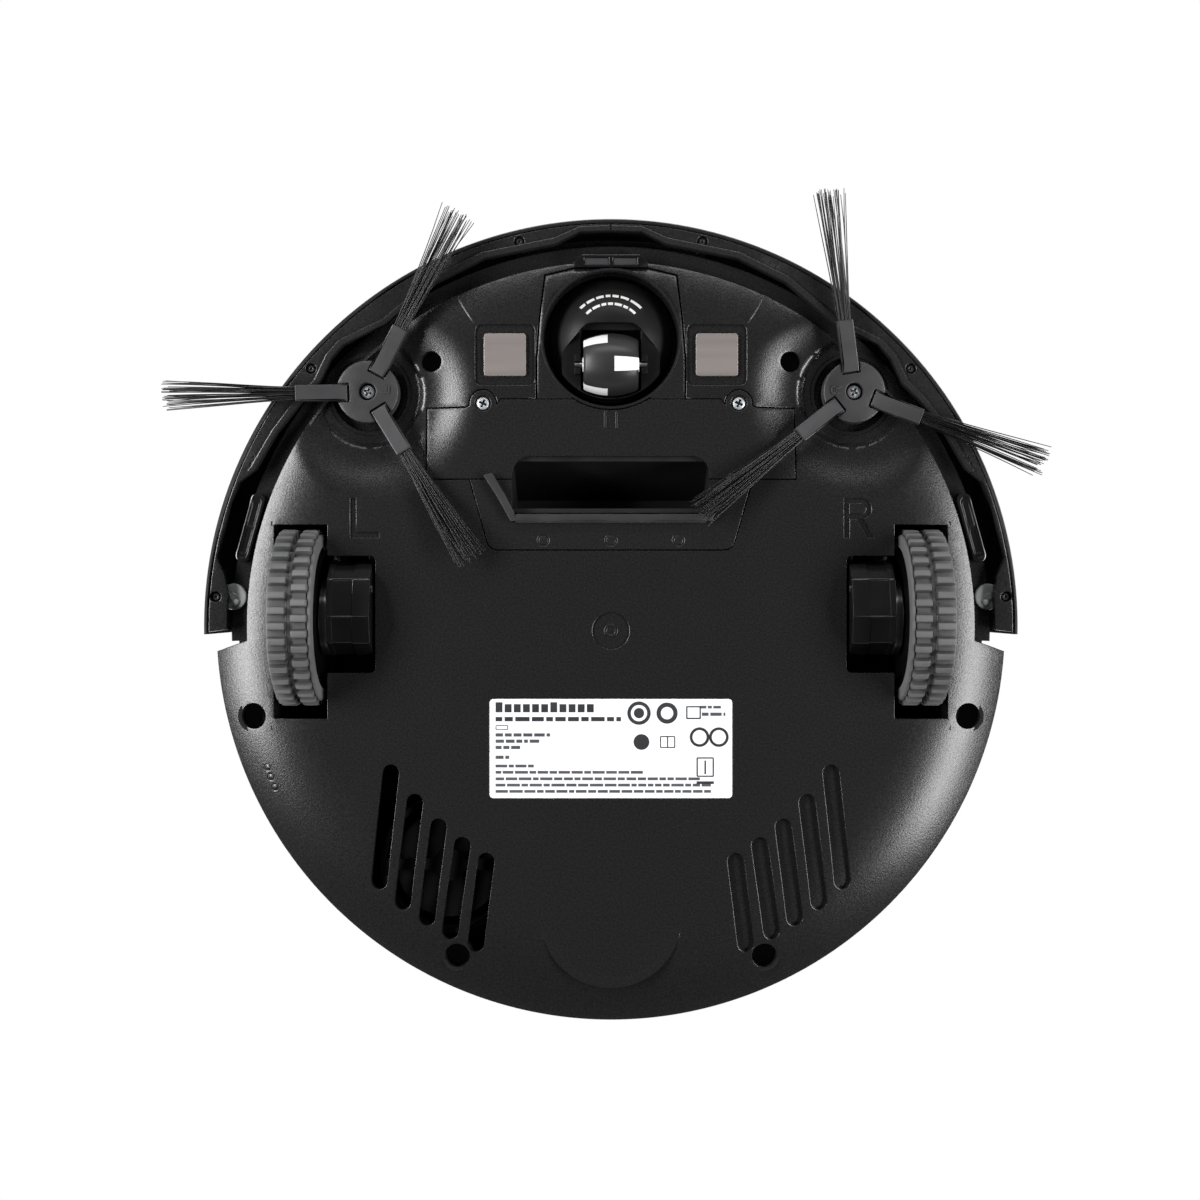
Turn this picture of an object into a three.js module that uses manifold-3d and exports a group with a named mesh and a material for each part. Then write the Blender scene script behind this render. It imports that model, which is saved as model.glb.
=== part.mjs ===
// A round robot vacuum cleaner, built as an assembly of separate pieces.
// Millimetres, +Z up. The origin is the centre of the flat underside. The machine drives towards -Y.
// "left" and "right" are as marked on the underside, seen from below with the front at the top: left is -X.
// The wheels hang at the end of their travel, as they do when the machine is lifted.
import * as THREE from 'three';
import { mergeVertices } from 'three/addons/utils/BufferGeometryUtils.js';
import Module from 'manifold-3d';

// ---------------------------------------------------------------- driving dimensions
const WALL = 2.5; // plastic wall
const GAP = 0.3; // between pieces that touch on the real machine
const BODY_R = 146.8; // rear half of the body
const FRONT_R = 141; // body wall behind the bumper
const SKIRT_R = 134.5; // front half of the underside, inside the bumper's gap
const BUMPER_R = 150;
const BUMPER_WALL = 1.5;
const FLAT_R = 112; // the underside is flat inside this radius and curls up outside it
const RIM_Z = 9; // how far the underside has risen at BODY_R
const LEDGE_Z = 8; // roof of the gap between the underside and the bumper
const SPLIT_Z = 20; // parting line of the base and the upper housing
const SHELF_Z = 59.5; // underside of the housing's shelf
const DECK_Z = 70; // top of the machine

const TYRE = { x: 113.9, y: -3, z: 5, r: 32.5, width: 16.2, rim: 26, ribs: 36, rib: 2.4 };
const PIVOT = { y: -40.5, z: 24 }; // suspension pivot, in front of the wheel
// wheel slot in the underside; above the skin it runs back to yBack, where the tyre swings up
const SLOT = { x0: 104.1, x1: 123.9, y0: -37.2, y1: 34.1, yBack: 37 };
const BOSS_SLOT = { x0: 86.5, x1: 104.2, y0: -25.7, y1: 17.2 }; // its inward arm, for the gearbox

const BRUSH = { x: 89.3, y: -85.9, hubR: 11.4, reach: 76, droop: 7.3, arm: 26.5, armW: 5.9, z: 1.5 };
const BRUSH_TURN = { left: [178.1, 58.1, -61.9], right: [-98.5, 21.5, 141.5] };
const BOWL = { r0: 18, r1: 36, depth: 5, ringR: 13.9 }; // dished surround of each side brush

const CASTER = {
  y: -105.5, cupR: 24.7, depth: 16.4, domeR: 23.2, trail: 9.5, r: 11.5, endR: 9.2, width: 20,
};
const MOUTH = { x: 36.2, y0: -62.2, y1: -41.9, corner: 7 };
const COVER = { x: 67.8, y0: -80.5, y1: -54, screwX: 47, screwY: -81.5, tabR: 4.9 };
const PLATE = { xFront: 52.4, xRear: 43.8, y0: -53.7, y1: -28.2 };
const CONTACT = { x: 38.9, y: -99.5, w: 15.5, h: 15.7, frameW: 21.9, frameH: 22.3 };
const LABEL = { w: 89, h: 36.4, y: 45 };
const VENT = { n: 5, w: 6.2, x: 45.4, pitch: 8.85, lean: 4.9 };
const BAY = { x: 50, y0: -29, y1: 58, z: 20 }; // compartment of the dust bin
const BIN = { x: 49, y0: -28, y1: 57, z0: 22.5, z1: 66.7, wall: 1.8 };
const LID = { x: 52, y0: -34, y1: 61, thick: 3, corner: 12 };
const BUTTON = { y: -82, r: 11 };
const FAN = { x: -60, y: 88.5, r: 25.5, z0: 6.3, z1: 34 };
const ROCKER = { turn: 28, w: 12, h: 8 };
// deep screw wells: [x, y, radius], each with its mirror image
const WELLS = [[132.4, 33.4, 4.7], [56.6, 121.7, 4.6], [66.4, -97.5, 3.7]];

// ---------------------------------------------------------------- colours
const paint = (color, roughness = 0.5, metalness = 0) =>
  new THREE.MeshStandardMaterial({ color, roughness, metalness });
const SHELL = paint(0x17171a, 0.42);
const GLOSS = paint(0x0c0c0e, 0.12);
const MATT = paint(0x222225, 0.6);
const RUBBER = paint(0x3a3a3d, 0.75);
const TYRE_GREY = paint(0x77787a, 0.7);
const BRISTLE = paint(0x1c1c1e, 0.4);
const WHITE = paint(0xf2f2f2, 0.4);
const NYLON = paint(0x9aa3a0, 0.3);
const STEEL = paint(0xc9ccd0, 0.3, 1);
const NICKEL = paint(0xb3a9a3, 0.35, 1);
const WINDOW = paint(0x2b2b30, 0.1);
const BOARD = paint(0x1f5a38, 0.5);
const WRAP = paint(0x2f5fa8, 0.5);
const CLEAR = paint(0x53565c, 0.25);
const FLEECE = paint(0xdedcd2, 0.9);

// ---------------------------------------------------------------- solids
const wasm = await Module();
wasm.setup();
const rad = THREE.MathUtils.degToRad;

// A closed three.js geometry as a manifold-3d solid, facing outwards.
function solid(geometry) {
  const bare = geometry.index ? geometry.toNonIndexed() : geometry.clone();
  for (const key of Object.keys(bare.attributes)) if (key !== 'position') bare.deleteAttribute(key);
  const merged = mergeVertices(bare, 1e-4);
  const index = merged.index.array;
  const tris = [];
  for (let i = 0; i < index.length; i += 3) {
    const [a, b, c] = [index[i], index[i + 1], index[i + 2]];
    if (a !== b && b !== c && a !== c) tris.push(a, b, c);
  }
  const make = (triVerts) =>
    new wasm.Manifold(
      new wasm.Mesh({ numProp: 3, vertProperties: merged.attributes.position.array, triVerts }),
    );
  const made = make(new Uint32Array(tris));
  return made.volume() > 0 ? made : make(new Uint32Array(tris.reverse()));
}

// A solid as a named mesh.
function piece(name, body, material) {
  const mesh = body.getMesh();
  const geometry = new THREE.BufferGeometry();
  geometry.setAttribute('position', new THREE.BufferAttribute(mesh.vertProperties, 3));
  geometry.setIndex(new THREE.BufferAttribute(mesh.triVerts, 1));
  geometry.computeVertexNormals();
  const made = new THREE.Mesh(geometry, material);
  made.name = name;
  return made;
}

const join = (...bodies) => bodies.reduce((a, b) => a.add(b));
const cut = (body, ...tools) => tools.reduce((a, b) => a.subtract(b), body);

function box(x0, x1, y0, y1, z0, z1) {
  const g = new THREE.BoxGeometry(x1 - x0, y1 - y0, z1 - z0);
  return solid(g.translate((x0 + x1) / 2, (y0 + y1) / 2, (z0 + z1) / 2));
}

// An upright cylinder or cone.
function rod(r, z0, z1, x = 0, y = 0, segments = 32, rTop = r) {
  const g = new THREE.CylinderGeometry(rTop, r, z1 - z0, segments).rotateX(Math.PI / 2);
  return solid(g.translate(x, y, (z0 + z1) / 2));
}

// A cylinder along X.
function rodX(r, x0, x1, y, z, segments = 32) {
  const g = new THREE.CylinderGeometry(r, r, x1 - x0, segments).rotateZ(-Math.PI / 2);
  return solid(g.translate((x0 + x1) / 2, y, z));
}

// A flat outline pulled up from z0 to z1.
function prism(shape, z0, z1, curveSegments = 12) {
  const g = new THREE.ExtrudeGeometry(shape, { depth: z1 - z0, bevelEnabled: false, curveSegments });
  return solid(g.translate(0, 0, z0));
}

const outline = (points) => new THREE.Shape(points.map(([x, y]) => new THREE.Vector2(x, y)));

// An outline in the YZ plane pulled along X.
function prismX(points, x0, x1) {
  const g = new THREE.ExtrudeGeometry(outline(points), { depth: x1 - x0, bevelEnabled: false });
  const turn = new THREE.Matrix4().makeBasis(
    new THREE.Vector3(0, 1, 0), new THREE.Vector3(0, 0, 1), new THREE.Vector3(1, 0, 0));
  return solid(g.applyMatrix4(turn).translate(x0, 0, 0));
}

// A profile of [radius, height] turned about Z.
function turned(profile, segments = 32, x = 0, y = 0) {
  const points = profile.map(([r, z]) => new THREE.Vector2(r, z));
  return solid(new THREE.LatheGeometry(points, segments).rotateX(Math.PI / 2).translate(x, y, 0));
}

function roundedRect(w, h, r, cx = 0, cy = 0) {
  const s = new THREE.Shape();
  const [x, y] = [w / 2, h / 2];
  s.absarc(cx + x - r, cy - y + r, r, -Math.PI / 2, 0);
  s.absarc(cx + x - r, cy + y - r, r, 0, Math.PI / 2);
  s.absarc(cx - x + r, cy + y - r, r, Math.PI / 2, Math.PI);
  s.absarc(cx - x + r, cy - y + r, r, Math.PI, 1.5 * Math.PI);
  s.closePath();
  return s;
}

// A point at a distance from the axis, by its angle in degrees from the front; positive is to +X.
const polar = (angle, r) => [r * Math.sin(rad(angle)), -r * Math.cos(rad(angle))];

// A band between two radii and two angles from the front.
function sector(r0, r1, a0, a1) {
  const s = new THREE.Shape();
  s.absarc(0, 0, r1, rad(a0 - 90), rad(a1 - 90), false);
  s.absarc(0, 0, r0, rad(a1 - 90), rad(a0 - 90), true);
  s.closePath();
  return s;
}

const mirrored = (body) => body.mirror([1, 0, 0]);
const both = (body) => body.add(mirrored(body));
// Side of the machine by name: -1 for left, +1 for right.
const SIDES = { left: -1, right: 1 };
const onSide = (body, side) => (side > 0 ? body : mirrored(body));

// ---------------------------------------------------------------- casings
const rimZ = (r) => (r > FLAT_R ? (RIM_Z * (r - FLAT_R) ** 2) / (BODY_R - FLAT_R) ** 2 : 0);
const RIM_STATIONS = [FLAT_R, 123, SKIRT_R, BODY_R];
// The curled edge of the underside, from the flat out to a radius, at the same stations on every piece.
const rimCurve = (rEnd, lift = 0) =>
  [...RIM_STATIONS.filter((r) => r < rEnd), rEnd].map((r) => [r, rimZ(r) + lift]);
const BODY_SEGMENTS = 60;

// Everything above the underside, with no hollow: pieces added to the base are trimmed to it.
function filledBase(top = SPLIT_Z) {
  return turned([[0, 0], ...rimCurve(BODY_R), [BODY_R, top], [0, top]], BODY_SEGMENTS);
}

function rearTray() {
  const inner = BODY_R - WALL;
  return turned([[0, 0], ...rimCurve(BODY_R), [BODY_R, SPLIT_Z], [inner, SPLIT_Z],
    ...rimCurve(inner, WALL).reverse(), [0, WALL]], BODY_SEGMENTS);
}

function frontTray() {
  const roof = LEDGE_Z + WALL;
  return turned([[0, 0], ...rimCurve(SKIRT_R), [SKIRT_R, LEDGE_Z], [FRONT_R, LEDGE_Z],
    [FRONT_R, SPLIT_Z], [FRONT_R - WALL, SPLIT_Z], [FRONT_R - WALL, roof], [SKIRT_R - WALL, roof],
    ...rimCurve(SKIRT_R - WALL, WALL).reverse(), [0, WALL]], BODY_SEGMENTS);
}

// The front region, which ends in a slanted step behind each end of the bumper.
const STEP = { inner: 5.5, outer: 9.5 };
function frontRegion(back = 0) {
  const far = 170;
  const slope = (STEP.outer - STEP.inner) / (BODY_R - SKIRT_R);
  const yFar = STEP.inner + slope * (far - SKIRT_R) + back;
  return prism(outline([[-far, -far], [far, -far], [far, yFar], [SKIRT_R, STEP.inner + back],
    [-SKIRT_R, STEP.inner + back], [-far, yFar]]), -5, 90);
}

// The curve of each side brush's dish, from its floor out to the flat.
const dish = (lift) =>
  [0, 0.35, 0.7, 1].map((t) => {
    const s = t * t * (3 - 2 * t);
    return [BOWL.r0 + (BOWL.r1 - BOWL.r0) * t, BOWL.depth * (1 - s) + lift];
  });

// The room under the dish of each side brush.
const dishRoom = () =>
  both(turned([[0, BOWL.depth], ...dish(0), [BOWL.r1, -2], [0, -2]], 28, BRUSH.x, BRUSH.y));

// Skin of the front of the underside, with the dish around each side brush.
function frontSkin() {
  const floor = turned([[0, BOWL.depth + WALL], ...dish(WALL), [BOWL.r1, 0], [0, 0]], 28, BRUSH.x, BRUSH.y);
  const inSkirt = floor.intersect(rod(SKIRT_R, 0, SPLIT_Z, 0, 0, BODY_SEGMENTS));
  return cut(frontTray().add(both(inSkirt)), dishRoom());
}

// One row of vent slots, from the middle of the machine outwards; each starts further forward.
function ventSlots(z0, z1, width) {
  const slots = [];
  for (let i = 0; i < VENT.n; i++) {
    const x = VENT.x + VENT.pitch * i;
    const yFront = 84 - 6.6 * i - 0.65 * i * i;
    const yBack = 119.5 - 4.2 * i - 0.42 * i * i;
    const s = new THREE.Shape();
    const r = width / 2;
    s.absarc(x, yFront + r, r, Math.PI, 2 * Math.PI);
    s.absarc(x + VENT.lean, yBack - r, r, 0, Math.PI);
    s.closePath();
    slots.push(prism(s, z0, z1, 3));
  }
  return slots;
}

// Outlines of the pieces set into the underside. Each is cut out of the base a little larger.
function coverOutline(grow = 0) {
  const { x, y0, y1, screwX, screwY, tabR } = COVER;
  const tongue = 14 + grow;
  return join(
    prism(roundedRect(2 * (x + grow), y1 - y0 + 2 * grow, 1.6, 0, (y0 + y1) / 2), -1, 12, 2),
    both(rod(tabR + grow, -1, 12, screwX, screwY, 20)),
    box(-tongue, tongue, y0 - 4, y0 + 2, -1, 12),
  );
}

function plateOutline(grow = 0) {
  const { xFront, xRear, y0, y1 } = PLATE;
  return prism(outline([[-xFront - grow, y0 - grow], [xFront + grow, y0 - grow],
    [xRear + grow, y1 - 3], [xRear - 3 + grow, y1 + grow], [-xRear + 3 - grow, y1 + grow],
    [-xRear - grow, y1 - 3]]), -1, 12);
}

function mouthTool() {
  const { x, y0, y1, corner } = MOUTH;
  const s = new THREE.Shape();
  s.moveTo(-x, y1);
  s.lineTo(-x, y0 + corner);
  s.quadraticCurveTo(-x, y0, -x + corner, y0);
  s.lineTo(x - corner, y0);
  s.quadraticCurveTo(x, y0, x, y0 + corner);
  s.lineTo(x, y1);
  s.closePath();
  return prism(s, -2, 5, 5);
}

function socketOutline(grow = 0) {
  const plate = prism(outline([[-24 - grow, -131.4 - grow], [24 + grow, -131.4 - grow],
    [27.4 + grow, -98], [27.4 + grow, -83 + grow], [-27.4 - grow, -83 + grow], [-27.4 - grow, -98]]),
  -1, 9);
  return plate.add(rod(CASTER.cupR + 1.3 + grow, -1, 24, 0, CASTER.y, 40));
}

const SENSOR_NOTCH = [-14.2, 14.2, -140, -131.7, -2];

function baseShell() {
  const front = frontRegion();
  const filled = filledBase();
  let base = join(frontSkin().intersect(frontRegion(0.4)), rearTray().subtract(front));
  // walls that close the rear part behind each bumper end
  const behind = filled.subtract(front).intersect(frontRegion(WALL));
  base = base.add(cut(behind, box(-132, 132, -200, 200, -5, 30)));
  // round pad that carries the flat out over the curled rim at the back
  base = base.add(rod(26, 0, 4, 0, 107, 32));
  // seats of the brush motors
  base = base.add(both(rod(BOWL.ringR + 1.6, BOWL.depth, 11.5, BRUSH.x, BRUSH.y, 24)));
  base = cut(base, both(rod(BOWL.ringR, 4, 9.8, BRUSH.x, BRUSH.y, 24)));
  base = cut(base, both(rod(4, 4, 13, BRUSH.x, BRUSH.y, 16)));
  for (const [x, y, r] of WELLS) {
    const sleeve = both(rod(r + 1.5, 0, 14, x, y, 14).intersect(filled));
    base = base.add(cut(sleeve, dishRoom()));
    base = cut(base, both(rod(r, -3, 12, x, y, 14)));
  }
  // walls of the wheel slots
  const { x0, x1, y0, y1, yBack } = SLOT;
  const wall = box(x0, x1 + 1.6, y0 - 1.6, yBack + 1.6, 1, 30).intersect(filledBase(30));
  const boss = BOSS_SLOT;
  base = cut(base.add(both(wall)), both(box(x0, x1, y0, y1, -5, 40)), both(box(x0, x1, y0, yBack, 5, 40)),
    both(box(boss.x0, boss.x1, boss.y0, boss.y1, -5, WALL + 1)));
  // openings for the pieces that are screwed or set into the underside
  base = cut(base, coverOutline(GAP), plateOutline(GAP), socketOutline(GAP));
  const { frameW, frameH } = CONTACT;
  base = cut(base, both(prism(roundedRect(frameW, frameH, 2, CONTACT.x, CONTACT.y), -1, 1.2, 2)));
  // vents: open to the fan on the left, blind on the right
  base = cut(base, ...ventSlots(-1, 9, VENT.w).map(mirrored), ...ventSlots(-1, 1.4, VENT.w));
  // sensor notch at the front, and the centre dimple with its boss
  base = cut(base, box(...SENSOR_NOTCH, LEDGE_Z));
  base = cut(base, cut(rod(6.8, -1, 0.8, 0, 0, 28), rod(2.4, -2, 2, 0, 0, 20)));
  return piece('base_shell', base, SHELL);
}

// Ring wall, shelf and the tub that holds the dust bin, in one moulding.
function upperHousing() {
  const z0 = SPLIT_Z + GAP;
  const z1 = SHELF_Z + WALL;
  const front = frontRegion();
  const disc = (r, low, high) => rod(r, low, high, 0, 0, BODY_SEGMENTS);
  const ring = (r) => cut(disc(r, z0, z1), disc(r - WALL, z0 - 1, SHELF_Z));
  let body = join(ring(FRONT_R).intersect(frontRegion(0.4)), ring(BODY_R).subtract(front));
  const full = join(disc(FRONT_R, z0, z1).intersect(front), disc(BODY_R, z0, z1).subtract(front));
  const stepWall = full.subtract(front).intersect(frontRegion(WALL))
    .subtract(box(-130, 130, -200, 200, 0, 90));
  body = body.add(stepWall);
  const { x, y0, y1, z } = BAY;
  const tub = box(-x - 1.8, x + 1.8, y0 - 1.8, y1 + 1.8, z + GAP, SHELF_Z + 1);
  body = cut(body.add(tub), box(-x, x, y0, y1, z + 1.8, 90));
  body = cut(body, both(box(39, 45, y1 - 1, LID.y1 + 0.4, 59, 63))); // room for the bin's hinge ears
  body = cut(body, box(-36, 36, y0 - 5, y0 + 1, 26, 42)); // air in
  body = cut(body, box(-46, 46, y1 - 1, y1 + 5, 28, 50)); // air out
  body = cut(body, rod(4.4, 50, 70, 0, BUTTON.y, 20)); // the start button's stem
  return piece('upper_housing', cut(body, rockerPocket()), SHELL);
}

function topCover() {
  const z0 = SHELF_Z + WALL + GAP;
  const curl = [[BODY_R - 8, DECK_Z], [BODY_R - 2.5, DECK_Z - 1.9], [BODY_R, DECK_Z - 5.5]];
  let cover = turned([[0, DECK_Z], ...curl, [BODY_R, z0], [BODY_R - WALL, z0], [BODY_R - WALL, DECK_Z - 5],
    [BODY_R - 8, DECK_Z - WALL], [0, DECK_Z - WALL]], BODY_SEGMENTS);
  const { x, y0, y1, corner } = LID;
  cover = cut(cover, prism(roundedRect(2 * x + 1.2, 60, corner, 0, y0 + 29.4), 60, 80, 5));
  cover = cut(cover, box(-x - 0.6, x + 0.6, y0 + 20, y1 + 0.6, 60, 80));
  cover = cut(cover, prism(roundedRect(30, 14, 6.5, 0, y0 - 1), 60, 80, 4)); // finger gap
  cover = cut(cover, rod(BUTTON.r + 0.4, 60, 80, 0, BUTTON.y, 32));
  return piece('top_cover', cover, GLOSS);
}

// ---------------------------------------------------------------- underside plates
function batteryCover() {
  let plate = cut(frontSkin().intersect(coverOutline()), mouthTool(), socketOutline(GAP),
    plateOutline(GAP));
  plate = cut(plate, both(rod(2.9, -1, 1.4, COVER.screwX, COVER.screwY, 20)),
    both(rod(1.7, 0, 5, COVER.screwX, COVER.screwY, 16)));
  const rib = box(1.6, 2.3, -79, -72.5, -0.7, 0.5);
  return piece('battery_cover', plate.add(both(rib)), SHELL);
}

function squeegeePlate() {
  const plate = frontSkin().intersect(plateOutline());
  return piece('squeegee_plate', cut(plate, mouthTool(), sealPath(GAP, -2, 2.1)), SHELL);
}

// The rubber wiper: a blade behind the mouth with a flap that runs forward and outward at each end.
function sealPath(grow, z0, z1) {
  const t = 1.2 + grow;
  const blade = box(-36 - grow, 36 + grow, -40.6 - t, -40.6 + t, z0, z1);
  const flap = prism(outline([[35 - t, -40.6 + t], [35 + t + 1, -40.6 + t], [38.6 + t, -47],
    [44.6 + t, -53.2 - grow], [41.2 - t + 0.8, -53.2 - grow], [37 - t, -48]]), z0, z1);
  return join(blade, both(flap));
}

const inletSeal = () => piece('inlet_seal', sealPath(0, -2.9, 1.8), RUBBER);

// The air path from the mouth up and back into the bin.
function suctionDuct() {
  const outer = [[-62.2, 2.8], [-62.2, 13], [-49.5, 44], [-31.2, 44], [-31.2, 24.4], [-37, 22.6],
    [-41.6, 12], [-41.6, 2.8]];
  const inner = [[-60.6, 1], [-60.6, 13], [-48.4, 42.2], [-28, 42.2], [-28, 26.2], [-38, 24.2],
    [-43.2, 12], [-43.2, 1]];
  return piece('suction_duct', cut(prismX(outer, -38, 38), prismX(inner, -36.2, 36.2)), MATT);
}

function casterSocket() {
  const { y, cupR, depth } = CASTER;
  const shape = socketOutline().intersect(box(-40, 40, -140, 0, -1, depth + 1.6));
  const plate = frontSkin().intersect(socketOutline());
  const cup = rod(cupR + 1.3, 0, depth + 1.6, 0, y, 40).intersect(shape);
  let body = join(plate, cup, rod(5.6, depth, 40, 0, y, 24));
  body = cut(body, rod(cupR, -1, depth, 0, y, 40), rod(3.6, 5, 38, 0, y, 20));
  return piece('caster_socket', cut(body, box(...SENSOR_NOTCH, LEDGE_Z + GAP)), SHELL);
}

const chargeContact = (name, side) => piece(name,
  prism(roundedRect(CONTACT.w, CONTACT.h, 1.2, side * CONTACT.x, CONTACT.y), -0.3, 0.9, 2), NICKEL);

const ratingLabel = () =>
  piece('rating_label', prism(roundedRect(LABEL.w, LABEL.h, 1.6, 0, LABEL.y), -0.25, 0, 3), WHITE);

// Countersunk cross-head screws that hold the battery cover.
function crossScrew(name, x, y, zHead, headR, length, material = STEEL) {
  let body = join(rod(headR, zHead, zHead + 1.2, x, y, 20), rod(1.3, zHead + 1, zHead + length, x, y, 12));
  const bar = box(x - headR * 0.6, x + headR * 0.6, y - 0.3, y + 0.3, zHead - 1, zHead + 0.6);
  const post = box(x - 0.3, x + 0.3, y - headR * 0.6, y + headR * 0.6, zHead - 1, zHead + 0.6);
  body = cut(body, bar, post);
  return piece(name, body, material);
}

// ---------------------------------------------------------------- cliff sensors and bumper guides
function cliffSensorFront() {
  const around = outline([[-13.7, -132], [-13.7, -134], [-10.6, -136.6], [10.6, -136.6], [13.7, -134],
    [13.7, -132]]);
  const window = both(box(0.7, 9.6, -135.6, -132.8, 0, 2.2));
  return piece('cliff_sensor_front', cut(prism(around, 1.4, LEDGE_Z - GAP), window), WINDOW);
}

function cliffSensorSide(name, side) {
  const [r0, r1, aMid, half] = [135.4, 140.7, 74.8, 5.7];
  const around = outline([polar(aMid - half, r0 + 2), polar(aMid - half + 1.4, r1),
    polar(aMid + half - 1.4, r1), polar(aMid + half, r0 + 2), polar(aMid + half - 0.6, r0),
    polar(aMid - half + 0.6, r0)]);
  const slot = (a0, a1) => prism(sector(r0 + 1.5, r0 + 4.2, a0, a1), 2, 4, 2);
  const windows = join(slot(aMid - 4, aMid - 0.4), slot(aMid + 0.4, aMid + 4));
  return piece(name, onSide(cut(prism(around, 3.2, LEDGE_Z - GAP), windows), side), WINDOW);
}

// Nylon disc that each end of the bumper slides on.
function bumperGuide(name, side) {
  const disc = rod(4.9, 5.9, LEDGE_Z - GAP, 139.9, -10.7, 24);
  const bead = rod(1.6, 5.2, 6.5, 138.8, -10.7, 16, 1.9);
  return piece(name, onSide(disc.add(bead), side), NYLON);
}

// ---------------------------------------------------------------- bumper
const BUMPER_END = 91.2; // degrees from the front

function bumperShell() {
  const inner = BUMPER_R - BUMPER_WALL;
  let shell = prism(sector(inner, BUMPER_R, -BUMPER_END, BUMPER_END), 2, 59, 18);
  shell = shell.add(prism(sector(145.5, BUMPER_R, -88, 88), 57.4, 59, 18));
  shell = shell.add(both(prism(sector(146, BUMPER_R, 84, BUMPER_END), 5.8, 8.8, 2)));
  const win = prism(sector(140, 155, -13, 13), 28, 44, 4);
  return piece('bumper_shell', cut(shell, win), GLOSS);
}

function bumperWindow() {
  const pane = prism(sector(BUMPER_R - BUMPER_WALL, BUMPER_R - 0.2, -12.85, 12.85), 28.3, 43.7, 4);
  const frame = prism(sector(146.8, 148.2, -14.5, 14.5), 26.5, 45.5, 4);
  return piece('bumper_window', join(pane, frame, prism(sector(148, 149, -12, 12), 30, 42, 4)), WINDOW);
}

// The flat trim under the bumper: [angle, inner radius] along its inner edge, from the front backwards.
const LIP_EDGE = [[0.06, 145.4], [5, 145.4], [8, 141.6], [19, 143], [27, 141.8], [36.5, 138.7], [41, 140.9],
  [43.5, 142.6], [46, 142.2], [50.5, 139.4], [54, 140.6], [60, 142], [66.5, 142.8], [68.6, 146.4],
  [70, 147.1], [80.2, 147.1], [82.6, 143.4], [85, 141.8], [90.4, 141.6]];
const LIP_SCREWS = [13.4, 49.4, 85.8];

function bumperLip(name, side) {
  const outer = [];
  for (let a = 90.9; a > 0; a -= 3) outer.push(polar(a, BUMPER_R - BUMPER_WALL - GAP));
  outer.push(polar(0.06, BUMPER_R - BUMPER_WALL - GAP));
  const trim = prism(outline([...LIP_EDGE.map(([a, r]) => polar(a, r)), ...outer]), 2.5, 5.4);
  const holes = LIP_SCREWS.map((a) => rod(1.7, 0, 9, ...polar(a, 146.1), 14));
  return piece(name, onSide(cut(trim, ...holes), side), MATT);
}

// A coil of round wire along +Z from the origin.
function coil(r, wire, height, turns, sides = 5, perTurn = 8) {
  class Helix extends THREE.Curve {
    getPoint(t, target = new THREE.Vector3()) {
      const a = 2 * Math.PI * turns * t;
      return target.set(r * Math.cos(a), r * Math.sin(a), wire + (height - 2 * wire) * t);
    }
  }
  const section = new THREE.Shape();
  section.absarc(0, 0, wire, 0, 2 * Math.PI);
  const points = outline(section.getPoints(sides).slice(0, sides).map((p) => [p.x, p.y]));
  return new THREE.ExtrudeGeometry(points, { steps: turns * perTurn, extrudePath: new Helix() });
}

const bumperSpring = (name, side) =>
  piece(name, solid(coil(2.6, 0.4, 7, 3).rotateX(Math.PI / 2).translate(side * 34, -137.2, 24)), STEEL);

// ---------------------------------------------------------------- drive wheels
// Ribbed outline of one row of the tyre, as [y, z] about its axle.
function ribbedOutline(offset) {
  const points = [];
  const pitch = 360 / TYRE.ribs;
  for (let i = 0; i < TYRE.ribs; i++) {
    for (const [part, r] of [[-0.26, TYRE.r], [0.26, TYRE.r], [0.5, TYRE.r - TYRE.rib]]) {
      const a = rad((i + part + offset) * pitch - 90);
      points.push([r * Math.cos(a), r * Math.sin(a)]);
    }
  }
  return points;
}

function tyre(name, side) {
  const { x, y, z, r, width, rim, rib } = TYRE;
  const [x0, x1] = [x - width / 2, x + width / 2];
  let body = join(prismX(ribbedOutline(0), x0, x - 0.7), prismX(ribbedOutline(0.5), x + 0.7, x1),
    rodX(r - rib - 0.3, x - 1, x + 1, 0, 0, 36));
  body = cut(body, rodX(rim, x0 - 1, x1 + 1, 0, 0, 36)).translate([0, y, z]);
  return piece(name, onSide(body, side), TYRE_GREY);
}

function wheelHub(name, side) {
  const { x, y, z, width, rim } = TYRE;
  const [x0, x1] = [x - width / 2 + 0.5, x + width / 2 - 0.5];
  let hub = rodX(rim - GAP, x0, x1, 0, 0, 36);
  hub = cut(hub, cut(rodX(rim - 3, x1 - 4, x1 + 1, 0, 0, 32), rodX(7, x1 - 5, x1 + 2, 0, 0, 24)));
  hub = cut(hub, rodX(3.4, x0 - 1, x0 + 4, 0, 0, 16)).translate([0, y, z]);
  return piece(name, onSide(hub, side), MATT);
}

// A bar along X around two circles [y, z, r], with straight sides that touch both.
function strap([ya, za, ra], [yb, zb, rb], x0, x1, segments) {
  const way = Math.atan2(zb - za, yb - ya);
  const lean = Math.acos((ra - rb) / Math.hypot(yb - ya, zb - za));
  const touch = (y, z, r, a) => [y + r * Math.cos(a), z + r * Math.sin(a)];
  const web = prismX([touch(ya, za, ra, way - lean), touch(yb, zb, rb, way - lean),
    touch(yb, zb, rb, way + lean), touch(ya, za, ra, way + lean)], x0, x1);
  return join(web, rodX(ra, x0, x1, ya, za, segments), rodX(rb, x0, x1, yb, zb, segments));
}

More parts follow.
